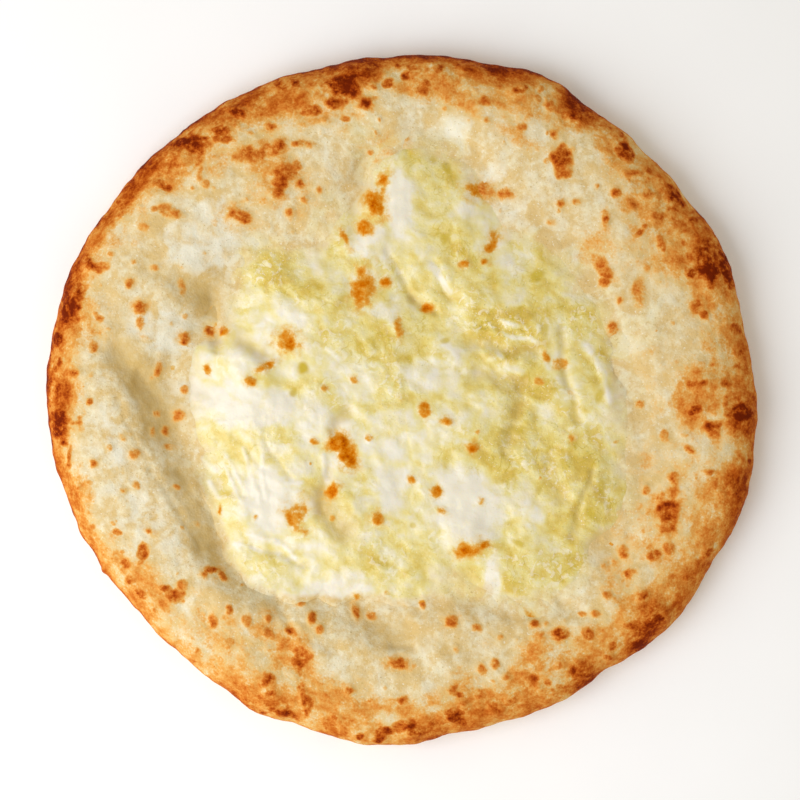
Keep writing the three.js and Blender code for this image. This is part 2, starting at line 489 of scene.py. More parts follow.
cheese_rings = [
    cheese_ring(max(1, CHEESE_RING_GROWTH * number), number / CHEESE_RINGS)
    for number in range(CHEESE_RINGS + 1)
]
cheese_rings += [cheese_under(count, share) for count, share in CHEESE_UNDERSIDE]
cheese = ring_mesh("melted_cheese", [ring[:, :3] for ring in cheese_rings])
cheese_body, cheese_sheet = np.vstack(cheese_rings)[:, 3:].T

# %% [markdown]
# ## Where the oven browned it
#
# Every bread browns in its own pattern, and the pattern is most of its look. The larger marks are listed
# one by one, each an ellipse with a tone from 0, pale, to 1, charred. Noise frays their edges, so no two
# look alike. Small freckles between them are scattered by a seeded rule.

# %% Browned marks
# Each mark: the pixel that shows it, x and y, its length and width in millimetres, its turn in degrees
# and its tone.
RIM_BURNS = [
    (189, 143, 15, 9, 36, 1.0), (186, 148, 28, 13, 38, 0.8), (221, 133, 9, 11, 80, 0.74),
    (238, 112, 10, 5, -25, 0.86), (346, 84, 26, 12, 35, 0.98), (331, 102, 7, 7, 0, 0.95),
    (318, 94, 22, 12, 20, 0.56), (312, 110, 10, 6, 10, 0.66), (366, 106, 9, 8, 0, 0.86),
    (374, 88, 4, 5, 60, 0.7), (421, 90, 9, 8, 0, 0.66), (428, 70, 22, 7, 0, 0.5), (471, 70, 13, 6, -5, 0.8),
    (481, 103, 10, 6, 0, 0.7), (517, 91, 7, 10, 80, 0.8), (560, 92, 9, 5, -30, 0.72),
    (576, 117, 11, 7, -25, 0.82), (561, 161, 9, 8, 40, 0.78), (562, 174, 7, 8, 80, 0.6),
    (623, 147, 16, 8, -55, 0.84),
    (672, 192, 24, 9, -55, 0.86), (693, 222, 9, 7, -50, 0.78), (710, 244, 15, 14, 0, 0.7),
    (676, 224, 18, 13, -50, 0.56),
    (710, 276, 15, 9, -75, 0.98), (710, 268, 28, 15, -75, 0.76), (727, 272, 24, 7, -78, 0.92),
    (690, 273, 5, 5, 0, 0.76), (697, 303, 6, 8, -70, 0.75), (705, 315, 8, 4, -70, 0.68),
    (742, 352, 8, 9, 0, 0.62), (702, 383, 13, 8, 10, 0.66), (722, 383, 10, 7, 0, 0.62),
    (696, 409, 8, 7, 0, 0.82), (712, 427, 7, 9, 70, 0.74), (742, 414, 16, 11, -85, 0.98),
    (735, 410, 28, 18, -85, 0.6), (738, 460, 9, 13, 0, 0.5), (740, 508, 10, 5, 70, 0.7),
    (708, 551, 9, 6, 60, 0.74), (657, 616, 13, 11, 40, 0.9), (645, 620, 22, 9, 30, 0.7),
    (630, 624, 9, 5, 0, 0.72),
    (584, 672, 9, 7, 20, 0.7), (497, 708, 7, 9, 70, 0.84), (448, 714, 10, 8, 10, 0.84),
    (413, 731, 10, 6, 0, 0.8), (379, 741, 9, 5, 0, 0.84), (305, 699, 11, 5, -80, 0.82),
    (277, 710, 16, 5, -22, 0.84), (269, 681, 7, 7, 0, 0.76), (271, 693, 8, 6, 0, 0.8),
    (301, 655, 14, 11, 60, 0.62), (247, 705, 9, 4, -35, 0.72), (336, 716, 6, 4, -15, 0.74),
    (176, 596, 6, 9, -60, 0.72), (165, 588, 7, 4, -20, 0.72), (183, 586, 6, 5, 0, 0.6),
    (140, 593, 4, 7, 70, 0.74), (104, 571, 4, 4, 0, 0.74), (62, 421, 14, 13, 80, 0.96),
    (73, 305, 18, 9, 62, 0.95), (57, 339, 6, 5, 80, 0.86), (61, 363, 4, 6, 0, 0.74),
    (76, 373, 7, 5, 10, 0.8), (91, 266, 6, 6, 0, 0.76), (69, 457, 3, 9, -10, 0.68),
]
DOUGH_MARKS = [
    (270, 127, 5, 4, -10, 0.66), (252, 134, 5, 3, -20, 0.52), (257, 154, 28, 8, 12, 0.58),
    (279, 148, 8, 6, 45, 0.8), (302, 145, 12, 3, -5, 0.66), (283, 176, 13, 10, 70, 0.72),
    (299, 184, 6, 5, 0, 0.66), (278, 194, 9, 6, -20, 0.7), (298, 166, 5, 4, 0, 0.56),
    (162, 183, 10, 4, 5, 0.6), (201, 174, 10, 4, 78, 0.48), (173, 214, 13, 5, -10, 0.5),
    (145, 227, 5, 4, 0, 0.54), (155, 268, 5, 4, 0, 0.44), (182, 288, 9, 4, -80, 0.4),
    (130, 284, 6, 4, 80, 0.6), (141, 308, 6, 6, 0, 0.7), (141, 323, 8, 4, 85, 0.48),
    (95, 348, 5, 5, 0, 0.56), (90, 402, 3, 3, 0, 0.6), (94, 463, 4, 5, 0, 0.54),
    (135, 454, 6, 5, 0, 0.56), (78, 488, 3, 4, 0, 0.66), (91, 527, 5, 4, 20, 0.52),
    (150, 531, 6, 3, -35, 0.64), (130, 580, 5, 4, 0, 0.62), (124, 563, 14, 9, -40, 0.44),
    (204, 574, 4, 4, 0, 0.7), (212, 570, 8, 3, 0, 0.76), (222, 576, 6, 3, -50, 0.72),
    (213, 620, 5, 8, 0, 0.6), (229, 610, 3, 5, 0, 0.56), (247, 622, 5, 5, 0, 0.56),
    (268, 619, 4, 4, 0, 0.56), (269, 634, 7, 4, -30, 0.68), (291, 632, 7, 4, -30, 0.72),
    (311, 620, 4, 6, 0, 0.62), (302, 606, 5, 3, 0, 0.56), (321, 630, 4, 4, 0, 0.52),
    (355, 612, 8, 4, -80, 0.64), (357, 598, 4, 4, 0, 0.5), (372, 617, 5, 4, -15, 0.52),
    (422, 605, 3, 4, 0, 0.5), (451, 621, 6, 6, 0, 0.64), (477, 627, 4, 4, 0, 0.56),
    (399, 663, 9, 5, -12, 0.74), (350, 690, 5, 5, 0, 0.7), (404, 700, 5, 4, 0, 0.62),
    (452, 689, 5, 5, 0, 0.64), (465, 706, 5, 5, 0, 0.62), (479, 693, 5, 5, 0, 0.62),
    (510, 700, 6, 6, 0, 0.66), (506, 677, 5, 5, 0, 0.62), (495, 664, 4, 5, 0, 0.6),
    (481, 667, 5, 6, 0, 0.62), (534, 624, 5, 4, 0, 0.68), (538, 637, 7, 7, 0, 0.46),
    (560, 634, 7, 5, 0, 0.86), (587, 634, 6, 6, 0, 0.64), (594, 613, 4, 4, 0, 0.58),
    (607, 595, 5, 4, 0, 0.6), (641, 595, 7, 6, -20, 0.86), (623, 552, 4, 6, 0, 0.7),
    (615, 564, 4, 5, 0, 0.64), (628, 573, 6, 5, 0, 0.6), (654, 555, 9, 5, 10, 0.68),
    (668, 549, 5, 6, 0, 0.68), (667, 513, 15, 12, 80, 0.84), (672, 492, 9, 7, 80, 0.6),
    (661, 500, 5, 9, 0, 0.64), (673, 478, 5, 6, 0, 0.58), (646, 489, 3, 6, 0, 0.6),
    (708, 472, 6, 4, 0, 0.64), (690, 450, 6, 3, -35, 0.66), (685, 435, 5, 3, 0, 0.56),
    (665, 436, 4, 5, 0, 0.44), (640, 404, 4, 4, 0, 0.58), (560, 665, 5, 5, 0, 0.62),
    (609, 658, 5, 4, 0, 0.7), (633, 174, 11, 5, -5, 0.64), (648, 172, 6, 7, 0, 0.66),
    (597, 187, 3, 3, 0, 0.56), (615, 193, 5, 4, -40, 0.7), (605, 220, 4, 8, 0, 0.68),
    (576, 203, 5, 3, 0, 0.48), (647, 196, 12, 4, 0, 0.64), (656, 217, 8, 7, 0, 0.7),
    (640, 232, 9, 4, 45, 0.68), (661, 246, 10, 4, -72, 0.66), (603, 269, 12, 6, -55, 0.64),
    (604, 282, 5, 4, 0, 0.66), (637, 293, 13, 7, -82, 0.45), (620, 300, 4, 4, 0, 0.56),
    (613, 328, 5, 5, 0, 0.68), (646, 268, 4, 4, 0, 0.44), (522, 129, 5, 5, 0, 0.52),
    (486, 121, 5, 4, 0, 0.48), (550, 107, 6, 5, 0, 0.58), (560, 204, 5, 5, 0, 0.6),
    (552, 222, 6, 4, 0, 0.4), (225, 645, 9, 5, 20, 0.46),
]
CHEESE_MARKS = [
    (374, 204, 13, 8, -72, 0.7), (383, 179, 7, 5, 60, 0.76), (364, 227, 7, 6, 0, 0.66),
    (346, 240, 11, 4, -65, 0.56), (361, 289, 17, 11, 75, 0.55), (363, 272, 8, 7, 80, 0.6),
    (386, 282, 5, 5, 0, 0.64), (481, 191, 13, 8, -10, 0.6), (506, 193, 7, 5, 0, 0.6),
    (491, 246, 13, 6, 60, 0.58), (466, 264, 5, 4, 0, 0.6), (484, 262, 5, 4, 0, 0.62),
    (241, 216, 13, 7, -8, 0.66), (290, 212, 5, 5, 0, 0.64), (304, 199, 4, 4, 0, 0.64),
    (319, 190, 4, 6, 0, 0.44), (183, 338, 5, 5, 0, 0.66), (207, 330, 5, 6, 0, 0.58),
    (222, 331, 5, 5, 0, 0.58), (158, 370, 9, 4, 78, 0.52), (207, 370, 3, 5, 20, 0.52),
    (251, 382, 6, 4, -20, 0.54), (289, 343, 11, 9, -10, 0.63), (267, 366, 11, 4, 20, 0.6),
    (338, 443, 9, 7, -30, 0.72), (347, 456, 11, 7, -55, 0.72), (314, 441, 5, 3, 0, 0.5),
    (333, 491, 8, 5, 45, 0.62), (296, 515, 13, 11, 60, 0.52), (301, 530, 9, 5, -20, 0.44),
    (378, 519, 7, 6, -40, 0.56), (354, 380, 4, 4, 0, 0.52), (324, 388, 3, 3, 0, 0.5),
    (428, 308, 5, 3, -10, 0.7), (399, 329, 9, 5, -75, 0.48), (546, 357, 5, 3, -70, 0.46),
    (560, 364, 6, 6, 0, 0.4), (538, 382, 6, 4, 30, 0.48), (425, 410, 6, 6, 0, 0.56),
    (447, 422, 6, 4, -20, 0.52), (472, 448, 6, 6, 0, 0.6), (571, 437, 6, 5, 0, 0.54),
    (412, 480, 4, 4, 0, 0.58), (436, 492, 5, 5, 0, 0.58), (442, 510, 7, 4, -30, 0.52),
    (481, 501, 4, 4, 0, 0.44), (471, 549, 14, 7, 10, 0.54), (465, 550, 5, 4, 0, 0.68),
    (484, 545, 5, 3, 30, 0.64), (177, 415, 6, 5, 0, 0.56),
    (157, 413, 4, 4, 0, 0.5), (153, 431, 3, 5, 0, 0.52), (165, 430, 3, 4, 0, 0.52),
    (169, 447, 7, 4, -5, 0.4), (219, 512, 2, 5, 0, 0.62),
]
print(f"{len(RIM_BURNS)} burns, {len(DOUGH_MARKS)} marks on dough, {len(CHEESE_MARKS)} on cheese")

# %% [markdown]
# ## From a row to a soft patch
#
# A row of such a list becomes an ellipse that fades out at its edge. Its pixel is followed back through the
# camera to the bread's top, so the patch lies where the picture shows it. Each point of a skin then keeps
# the strongest patch that covers it, and for a blister how far it is lifted.

# %% Soft patches
MARK_HEIGHT = 18  # of the bread's top, where the marks lie
FRAY = [(5.0, 0.4, 21), (2.0, 0.26, 22)]  # size, strength and seed of the noise at a mark's edge
SOFT_EDGE = (1.4, 0.5)  # shares of a patch's size at which it is gone and is whole
BLISTER_BREADTH = 1.25  # above 1 for a flat top


def from_picture(x, y):
    """The place on the bread's top, in millimetres, that a pixel of the picture shows."""
    nearer = (camera_height - MARK_HEIGHT) / (camera_height - WIDEST_LINE)
    scale = PICTURE_MM_PER_PIXEL * nearer
    return (x - ORIGIN_PIXEL[0]) * scale, (ORIGIN_PIXEL[1] - y) * scale


def ellipse_distance(places, x, y, length, width, turn):
    """Distance from an ellipse's middle as a share of its half size: 1 on its edge."""
    middle_x, middle_y = from_picture(x, y)
    right, up = places[:, 0] - middle_x, places[:, 1] - middle_y
    cosine, sine = math.cos(math.radians(turn)), math.sin(math.radians(turn))
    lengthwise = (right * cosine + up * sine) / (length / 2)
    crosswise = (up * cosine - right * sine) / (width / 2)
    return np.hypot(lengthwise, crosswise)


def soft_patches(places, patches, fray, edge=SOFT_EDGE):
    """How strongly patches with a frayed and soft edge cover each place."""
    cover = np.zeros(len(places))
    frayed = sum(strength * noise(places, size, seed) for size, strength, seed in fray)
    for x, y, length, width, turn, strength in patches:
        distance = ellipse_distance(places, x, y, length, width, turn) + frayed
        cover = np.maximum(cover, strength * smoothstep(*edge, distance))
    return cover


def blister_lift(places, marks):
    """How far blisters lift each place, from 0 to 1."""
    lift = np.zeros(len(places))
    for x, y, length, width, turn, tone in marks:
        distance = ellipse_distance(places, x, y, length, width, turn)
        lift = np.maximum(lift, tone * np.clip(BLISTER_BREADTH - distance**2, 0, 1))
    return lift


# %% [markdown]
# ## Freckles
#
# Freckles are single bubbles of dough that caught the heat. They crowd towards the rim and are rare in the
# middle. There are too many to place by hand, so they are drawn at random. The draw is seeded, so the bread
# is the same every time.

# %% Freckles
FRECKLES = 260
FRECKLE_SEED = 17
ANY_TURN = (-90, 90)
# Shape and scale of how far in it lies, then ranges of its width, its length in widths, and its tone.
FRECKLE = {"inset": (1.4, 15), "width": (1.4, 3.4), "length": (1, 1.7), "tone": (0.24, 0.5)}


def random_mark(draw, angle, kind):
    """A small mark at a bearing, as a row like those above."""
    radius = max(loaf_reach(angle) - draw.gamma(*kind["inset"]), 0) / PICTURE_MM_PER_PIXEL
    x, y = ORIGIN_PIXEL[0] + radius * math.cos(angle), ORIGIN_PIXEL[1] - radius * math.sin(angle)
    width = draw.uniform(*kind["width"])
    length = width * draw.uniform(*kind["length"])
    return x, y, length, width, draw.uniform(*ANY_TURN), draw.uniform(*kind["tone"])


draw = np.random.default_rng(FRECKLE_SEED)
freckles = [random_mark(draw, draw.uniform(0, 2 * np.pi), FRECKLE) for _ in range(FRECKLES)]
all_marks = RIM_BURNS + DOUGH_MARKS + CHEESE_MARKS + freckles
print(f"{len(all_marks)} browned marks, {FRECKLES} of them freckles")

# %% [markdown]
# ## Butterfat, milk and oil
#
# Melted curd cheese parts into two: yellow curd where butterfat gathered, and smooth milky pools where
# whey and soft curd ran together. Both are listed as soft patches, because they are what the eye reads
# first. A few drops of clear oil lie between them.

# %% Patches of curd, milk and oil
# Each patch: the pixel at its middle, x and y, its length and width in millimetres, its turn in degrees
# and its strength.
YELLOW_CURD = [
    (274, 272, 44, 28, -10, 0.95), (310, 295, 30, 26, -30, 0.7), (432, 180, 34, 56, -20, 0.6),
    (450, 235, 30, 20, -20, 0.6), (375, 340, 44, 30, -20, 0.7), (440, 385, 62, 50, 0, 0.35),
    (505, 335, 50, 42, -20, 1.15), (545, 275, 40, 42, -30, 0.58), (566, 440, 36, 50, 20, 0.6),
    (590, 482, 42, 56, -10, 0.9), (545, 568, 48, 34, 10, 0.65), (470, 585, 44, 20, 0, 0.85),
    (400, 565, 62, 28, 0, 0.55), (262, 560, 40, 17, -25, 0.32), (248, 442, 50, 30, -10, 0.55),
    (310, 390, 28, 16, -10, 0.5), (210, 465, 20, 22, 0, 0.5), (530, 452, 46, 46, 0, 0.95),
    (500, 535, 40, 36, 0, 0.6), (632, 490, 16, 40, 0, 0.55), (350, 540, 40, 28, 0, 0.45),
    (630, 330, 40, 50, 0, 0.3), (330, 220, 40, 30, 0, 0.4), (420, 300, 50, 40, 0, 0.48),
    (430, 500, 50, 40, 0, 0.25), (470, 300, 40, 46, 0, 0.8), (582, 330, 30, 44, 0, 0.8),
    (330, 335, 40, 22, -20, 0.5), (375, 150, 24, 40, 0, 0.5), (240, 270, 10, 26, 0, 0.85),
    (402, 380, 26, 28, 0, 0.75), (525, 390, 34, 28, 0, 1.0), (350, 258, 26, 20, 0, 0.6),
    (335, 516, 22, 24, 0, 0.75), (316, 482, 13, 18, 0, 0.5), (385, 522, 24, 18, 0, 0.5),
    (444, 451, 17, 14, 0, 0.5), (436, 474, 18, 16, 0, 0.55), (220, 495, 80, 14, -74, 0.45),
    (402, 594, 30, 9, 0, 0.5), (396, 424, 17, 16, 0, 0.45), (250, 478, 16, 16, 0, 0.4),
    (299, 563, 14, 12, 0, 0.45), (371, 482, 12, 14, 0, 0.5), (238, 303, 16, 14, 0, 0.6),
]
MILK_POOLS = [
    (245, 404, 60, 15, -4, 0.65), (190, 392, 20, 11, -20, 0.6), (270, 502, 22, 32, 8, 0.95),
    (399, 203, 11, 30, 6, 0.9), (373, 244, 18, 14, 20, 0.6), (425, 472, 22, 16, -20, 0.3),
    (393, 484, 20, 22, 0, 0.6), (470, 508, 26, 28, 0, 0.85), (455, 272, 20, 10, -20, 0.2),
    (290, 311, 20, 11, -38, 0.4), (345, 465, 16, 20, 0, 0.3), (340, 590, 30, 8, 0, 0.6),
    (492, 582, 7, 18, 0, 0.6), (545, 410, 12, 8, 0, 0.4), (515, 263, 18, 10, 0, 0.45),
    (110, 470, 14, 40, 0, 0.6), (150, 520, 12, 34, 30, 0.5), (495, 176, 14, 9, 0, 0.6),
    (203, 250, 30, 26, 20, 0.8), (163, 325, 18, 20, 0, 0.6), (455, 128, 32, 12, -10, 0.3),
    (425, 376, 14, 17, 0, 0.45), (385, 311, 13, 12, 0, 0.4), (586, 292, 14, 12, 0, 0.35),
    (434, 512, 13, 20, 0, 0.35), (345, 577, 15, 9, 0, 0.4), (508, 208, 24, 11, -25, 0.4),
    (532, 512, 10, 12, 0, 0.4), (213, 222, 16, 24, 0, 0.5), (404, 345, 11, 9, 0, 0.35),
    (322, 430, 24, 16, 0, 0.35), (346, 362, 16, 11, 0, 0.35), (396, 450, 20, 10, 0, 0.35),
    (315, 268, 14, 6, -62, 0.5),
]
OIL_DROPS = [
    (518, 543, 7, 3, -28, 0.9), (303, 368, 4, 5, 10, 1.0), (293, 394, 4, 3, 60, 0.8),
    (447, 168, 4, 6, 20, 0.9), (434, 155, 3, 6, -10, 0.8), (443, 238, 3, 5, 0, 0.7),
    (515, 430, 8, 4, 0, 0.8), (565, 465, 6, 3, -62, 0.9), (601, 488, 3, 7, 0, 0.8),
    (591, 514, 7, 3, -50, 0.8), (535, 277, 7, 4, 40, 0.9), (553, 250, 3, 5, 0, 0.8),
    (599, 396, 6, 3, 70, 0.8), (544, 330, 3, 7, 0, 0.6), (577, 420, 6, 4, -50, 0.6),
    (540, 488, 6, 3, 60, 0.6), (445, 341, 4, 3, 20, 0.7), (410, 360, 3, 5, 0, 0.8),
    (374, 345, 7, 3, -55, 0.7), (445, 464, 3, 7, 0, 0.6), (413, 526, 3, 3, 0, 0.7),
]
PATCH_FRAY = [(15, 0.4, 51), (5, 0.25, 52)]
print(f"{len(YELLOW_CURD)} patches of curd, {len(MILK_POOLS)} of milk, {len(OIL_DROPS)} drops of oil")

# %% [markdown]
# ## Strings and folds
#
# Folds are the grooves and ridges that were left where dough and cheese slid and set, and strings are thin
# pale ridges where hot cheese was pulled. They could be sculpted, but a list is easier to change. Each is a
# line between two places, with a soft width and a depth. Noise bends the lines, so that none looks ruled.

# %% Strings and folds
# Each fold: the pixels at its two ends, its width and its depth in millimetres, below zero for a ridge.
STRINGS = [
    (240, 451, 252, 480, 2.4, -0.6), (252, 480, 258, 502, 2.2, -0.6), (220, 464, 240, 499, 2.2, -0.5),
    (224, 459, 247, 491, 2.2, -0.5), (261, 457, 263, 498, 2.6, -0.7), (208, 480, 216, 497, 2.2, -0.5),
    (245, 533, 272, 542, 2.2, -0.5), (272, 542, 296, 558, 2.2, -0.5), (220, 421, 236, 420, 2.2, -0.4),
    (281, 486, 301, 483, 2.4, -0.5), (322, 457, 328, 482, 2.8, -0.7), (504, 319, 525, 328, 1.8, -0.6),
    (505, 333, 534, 343, 2.0, -0.6), (484, 344, 503, 356, 2.6, -0.6), (508, 364, 521, 373, 3.0, -0.8),
    (443, 344, 455, 358, 2.6, -0.6), (232, 545, 276, 556, 2.2, -0.5), (196, 452, 214, 470, 2.4, -0.5),
    (430, 268, 452, 292, 3.0, -0.8), (590, 345, 603, 372, 3.0, -0.7), (600, 372, 608, 402, 3.0, -0.6),
]
CHEESE_FOLDS = [
    (388, 250, 410, 296, 4, 0.7), (410, 296, 434, 312, 4, 1.2), (426, 264, 474, 298, 11, -1.2),
    (470, 345, 535, 352, 7, 1.3), (478, 372, 520, 384, 8, 1.3), (470, 330, 500, 336, 5, -1.0),
    (484, 352, 522, 362, 4, -1.0), (598, 345, 614, 420, 8, -0.7),
    (336, 432, 348, 412, 6, 1.4),
    (330, 470, 322, 510, 6, 1.2), (318, 498, 346, 530, 12, 1.9),
    (240, 342, 264, 356, 9, 1.5), (520, 400, 505, 450, 6, 1.2),
    (545, 455, 560, 500, 7, 1.0), (430, 265, 452, 300, 5, 1.2), (232, 438, 262, 470, 3, 0.4),
    (262, 440, 290, 478, 3, 0.4), (246, 452, 250, 480, 3, 0.4), (250, 548, 310, 565, 3, 0.8),
    (560, 330, 575, 420, 4, 0.9), (590, 470, 575, 540, 4, 0.9),
]
DOUGH_FOLDS = [
    (150, 268, 206, 292, 12, 1.3), (206, 290, 211, 334, 20, 1.4), (212, 296, 214, 350, 4, 1.1),
    (150, 324, 172, 338, 22, -1.0),
    (214, 350, 238, 366, 18, -0.9),
    (116, 328, 122, 352, 16, 0.9), (122, 352, 142, 384, 11, 1.8), (142, 384, 163, 425, 13, 1.9),
    (163, 425, 177, 470, 12, 0.4),
    (178, 474, 208, 540, 12, 1.7), (208, 540, 228, 576, 12, 1.2), (128, 330, 172, 392, 30, 0.9),
    (602, 545, 632, 592, 14, 1.4), (655, 455, 650, 505, 16, 1.2),
    (122, 380, 168, 452, 2.6, 0.45), (112, 392, 152, 470, 2.4, 0.35), (140, 372, 160, 402, 2.4, 0.4),
    (150, 470, 206, 548, 2.6, 0.4), (168, 500, 214, 562, 2.4, 0.35), (176, 470, 214, 520, 2.4, 0.4),
    (276, 600, 289, 629, 5, 1.2), (380, 628, 396, 640, 11, 1.5), (392, 645, 412, 648, 3, 1.0),
    (300, 612, 360, 606, 9, 0.5), (420, 608, 490, 605, 8, 0.8), (364, 165, 354, 228, 8, 0.9),
    (560, 600, 590, 620, 6, 1.0), (330, 650, 350, 668, 8, 0.6), (430, 640, 470, 650, 10, 1.2),
    (300, 640, 318, 650, 8, -1.0), (236, 600, 330, 622, 22, -1.9), (395, 606, 412, 640, 10, 0.8),
]
FOLD_SWAY = 1.6  # how far a fold's line wavers
FOLD_WAVE = 8  # and over what length
SWAY_SEEDS = (61, 62)


def fold_depth(places, folds):
    """How deep the folds lie at each place, in millimetres."""
    depth = np.zeros(len(places))
    sway = np.column_stack([noise(places, FOLD_WAVE, seed) for seed in SWAY_SEEDS])
    swayed = places[:, :2] + FOLD_SWAY * sway
    for start_x, start_y, end_x, end_y, width, drop in folds:
        start, end = np.array(from_picture(start_x, start_y)), np.array(from_picture(end_x, end_y))
        run = end - start
        share = np.clip((swayed - start) @ run / (run @ run), 0, 1)
        away = np.linalg.norm(swayed - start - share[:, None] * run, axis=1) / (width / 2)
        depth += drop * np.exp(-away * away)
    return depth


print(f"{len(STRINGS)} strings, {len(CHEESE_FOLDS)} folds in the cheese, {len(DOUGH_FOLDS)} in the dough")

# %% [markdown]
# ## What the cheese's points know
#
# A material or a geometry tree can't read these lists, but it can read numbers that are kept at a mesh's
# points under a name. Each list is turned into such numbers once, so colour and relief always agree.

# %% Numbers for the cheese
STRING_RISE = 0.5  # of a string's depth as listed, because melted strings lie low
STRING_EDGE = 2  # how fast a string turns pale with its height
STRING_WHEY = 0.55
WHEY_HIDES = 0.8  # share of the yellow that is lost under whey
EDGE_FOLLOW = 0.6  # how much further than the dough the sheet's edge sinks into a groove


def store(piece, **attributes):
    """Keeps numbers at a mesh's points, for materials and geometry trees to read by name."""
    for name, numbers in attributes.items():
        attribute = piece.data.attributes.new(name, "FLOAT", "POINT")
        attribute.data.foreach_set("value", np.asarray(numbers, np.float32))


def fat_and_whey(places):
    """How yellow and how milky each place is. Strings are paler than what they lie on."""
    strings = np.clip(-STRING_EDGE * fold_depth(places, STRINGS), 0, 1)
    whey = np.maximum(soft_patches(places, MILK_POOLS, PATCH_FRAY), STRING_WHEY * strings)
    return soft_patches(places, YELLOW_CURD, PATCH_FRAY) * (1 - WHEY_HIDES * whey), whey


cheese_places = mesh_points(cheese.data) * (1, 1, 0)
curd, milk = fat_and_whey(cheese_places)
oil = soft_patches(cheese_places, OIL_DROPS, FRAY)
lift = blister_lift(cheese_places, all_marks) * cheese_body
under = fold_depth(cheese_places, DOUGH_FOLDS)
sunk = EDGE_FOLLOW * np.maximum(under, 0) * (1 - cheese_body)
ridges = STRING_RISE * fold_depth(cheese_places, STRINGS)
# The fold depth also sets the painted shade in grooves.
fold = fold_depth(cheese_places, CHEESE_FOLDS) + ridges + under + sunk
store(cheese, curd=curd, milk=milk, oil=oil, body=cheese_body, sheet=cheese_sheet, lift=lift, fold=fold)
print(f"mean strength of curd {curd.mean():.2f}, of milk {milk.mean():.2f}; deepest fold {fold.max():.1f} mm")

# %% [markdown]
# ## The rim's golden glow
#
# Besides the marks, the whole rim is toasted, darkest at the very edge and fading inwards. How strong
# the toasting is and how far in it reaches differ round the loaf, because ovens heat unevenly. A short
# table says so by bearing, and a few broad patches add to it.

# %% Glow of the rim
# Bearing in degrees, strength at the edge, and reach in millimetres.
RIM_GLOW = np.array([
    (0, 0.70, 24), (15, 0.32, 24), (30, 0.68, 31), (45, 0.37, 20), (60, 0.74, 16), (75, 0.66, 9),
    (90, 0.78, 12), (105, 0.88, 15), (120, 0.50, 20), (135, 0.74, 15), (150, 0.65, 14), (165, 0.90, 13),
    (180, 0.68, 17), (195, 0.64, 11), (210, 0.46, 12), (225, 0.27, 25), (240, 0.49, 16), (255, 0.44, 29),
    (270, 0.55, 19), (285, 0.47, 25), (300, 0.58, 18), (315, 0.70, 17), (330, 0.58, 28), (345, 0.58, 17),
])
GLOW_PATCH = (13, 31)  # size and seed of the unevenness in the glow
GLOW_UNEVEN = 0.4
TOASTED = [
    (205, 160, 56, 28, 40, 0.27), (287, 172, 36, 30, 0, 0.34), (344, 106, 52, 26, 12, 0.4),
    (420, 85, 60, 20, 0, 0.42), (520, 105, 50, 20, -15, 0.32), (647, 206, 46, 28, -50, 0.42),
    (708, 264, 54, 22, -75, 0.48), (704, 390, 46, 28, 88, 0.44), (692, 470, 36, 34, 0, 0.26),
    (668, 530, 46, 30, 60, 0.28), (650, 598, 54, 26, 45, 0.36), (562, 658, 54, 28, 25, 0.41),
    (480, 702, 48, 26, 10, 0.37), (420, 708, 52, 24, 0, 0.37), (332, 701, 60, 26, -12, 0.37),
    (288, 655, 32, 22, -40, 0.42), (204, 622, 70, 30, -42, 0.34), (142, 590, 52, 28, -45, 0.4),
    (72, 330, 64, 20, 78, 0.46), (118, 232, 42, 22, 55, 0.28), (240, 215, 24, 14, 0, 0.26),
    # The rows at (100, 312) and (625, 575) are partly toasting and partly painted shade in dips.
    (100, 312, 50, 24, 75, 0.18), (382, 150, 30, 44, 0, 0.26), (625, 575, 26, 22, 0, 0.3),
    (640, 510, 56, 28, 80, 0.26), (660, 574, 34, 18, 55, 0.35),
    (600, 240, 36, 28, -40, 0.28), (540, 150, 44, 22, -20, 0.32), (92, 262, 40, 18, 60, 0.36),
    (655, 372, 50, 32, 90, 0.2), (85, 262, 34, 10, 62, 0.62), (162, 604, 40, 22, -45, 0.4),
]
TOAST_FRAY = [(16, 0.5, 33), (6, 0.35, 34)]
BURN_EDGE = (1.7, 0.1)  # softer than a patch's edge, like a stain's
# The dark line along the silhouette is partly a charred edge and partly painted shade where the side turns
# away from view.
EDGE_LINE = 2.0  # width of the dark line along the silhouette
EDGE_LINE_BEARING = np.radians(130)  # where it is darkest


def glow_at(angle):
    """How strong the rim's glow is at a bearing, and how far in it reaches."""
    return [np.interp(np.degrees(angle), RIM_GLOW[:, 0], column, period=360) for column in RIM_GLOW.T[1:]]


def rim_toast(places):
    """Toasting at each place of the top, how far in it lies, its bearing and the edge line's strength."""
    flat = places * (1, 1, 0)
    angle = np.arctan2(places[:, 1], places[:, 0])
    inset = np.maximum(loaf_reach(angle) - np.hypot(places[:, 0], places[:, 1]), 0)
    strength, reach = glow_at(angle)
    patchy = 1 + GLOW_UNEVEN * noise(flat, *GLOW_PATCH)
    glow = strength * patchy * np.exp(-((inset / (reach * patchy)) ** 2))
    line = smoothstep(EDGE_LINE, 0, inset) * (0.5 + 0.5 * np.cos(angle - EDGE_LINE_BEARING))
    return np.maximum(glow, soft_patches(flat, TOASTED, TOAST_FRAY, BURN_EDGE)), inset, angle, line


print(f"the glow is at most {RIM_GLOW[:, 1].max():.2f} strong and {RIM_GLOW[:, 2].max():.0f} mm deep")

# %% [markdown]
# ## Scorched spots
#
# Between the large burns the rim is peppered with small scorched spots. The same heat made both, so they
# crowd where the glow is strong: a bearing is drawn again until the rim glows enough there. Burns are soft,
# like a stain. Blisters are crisp and have a golden ring, because a thin bubble browns before its foot does.

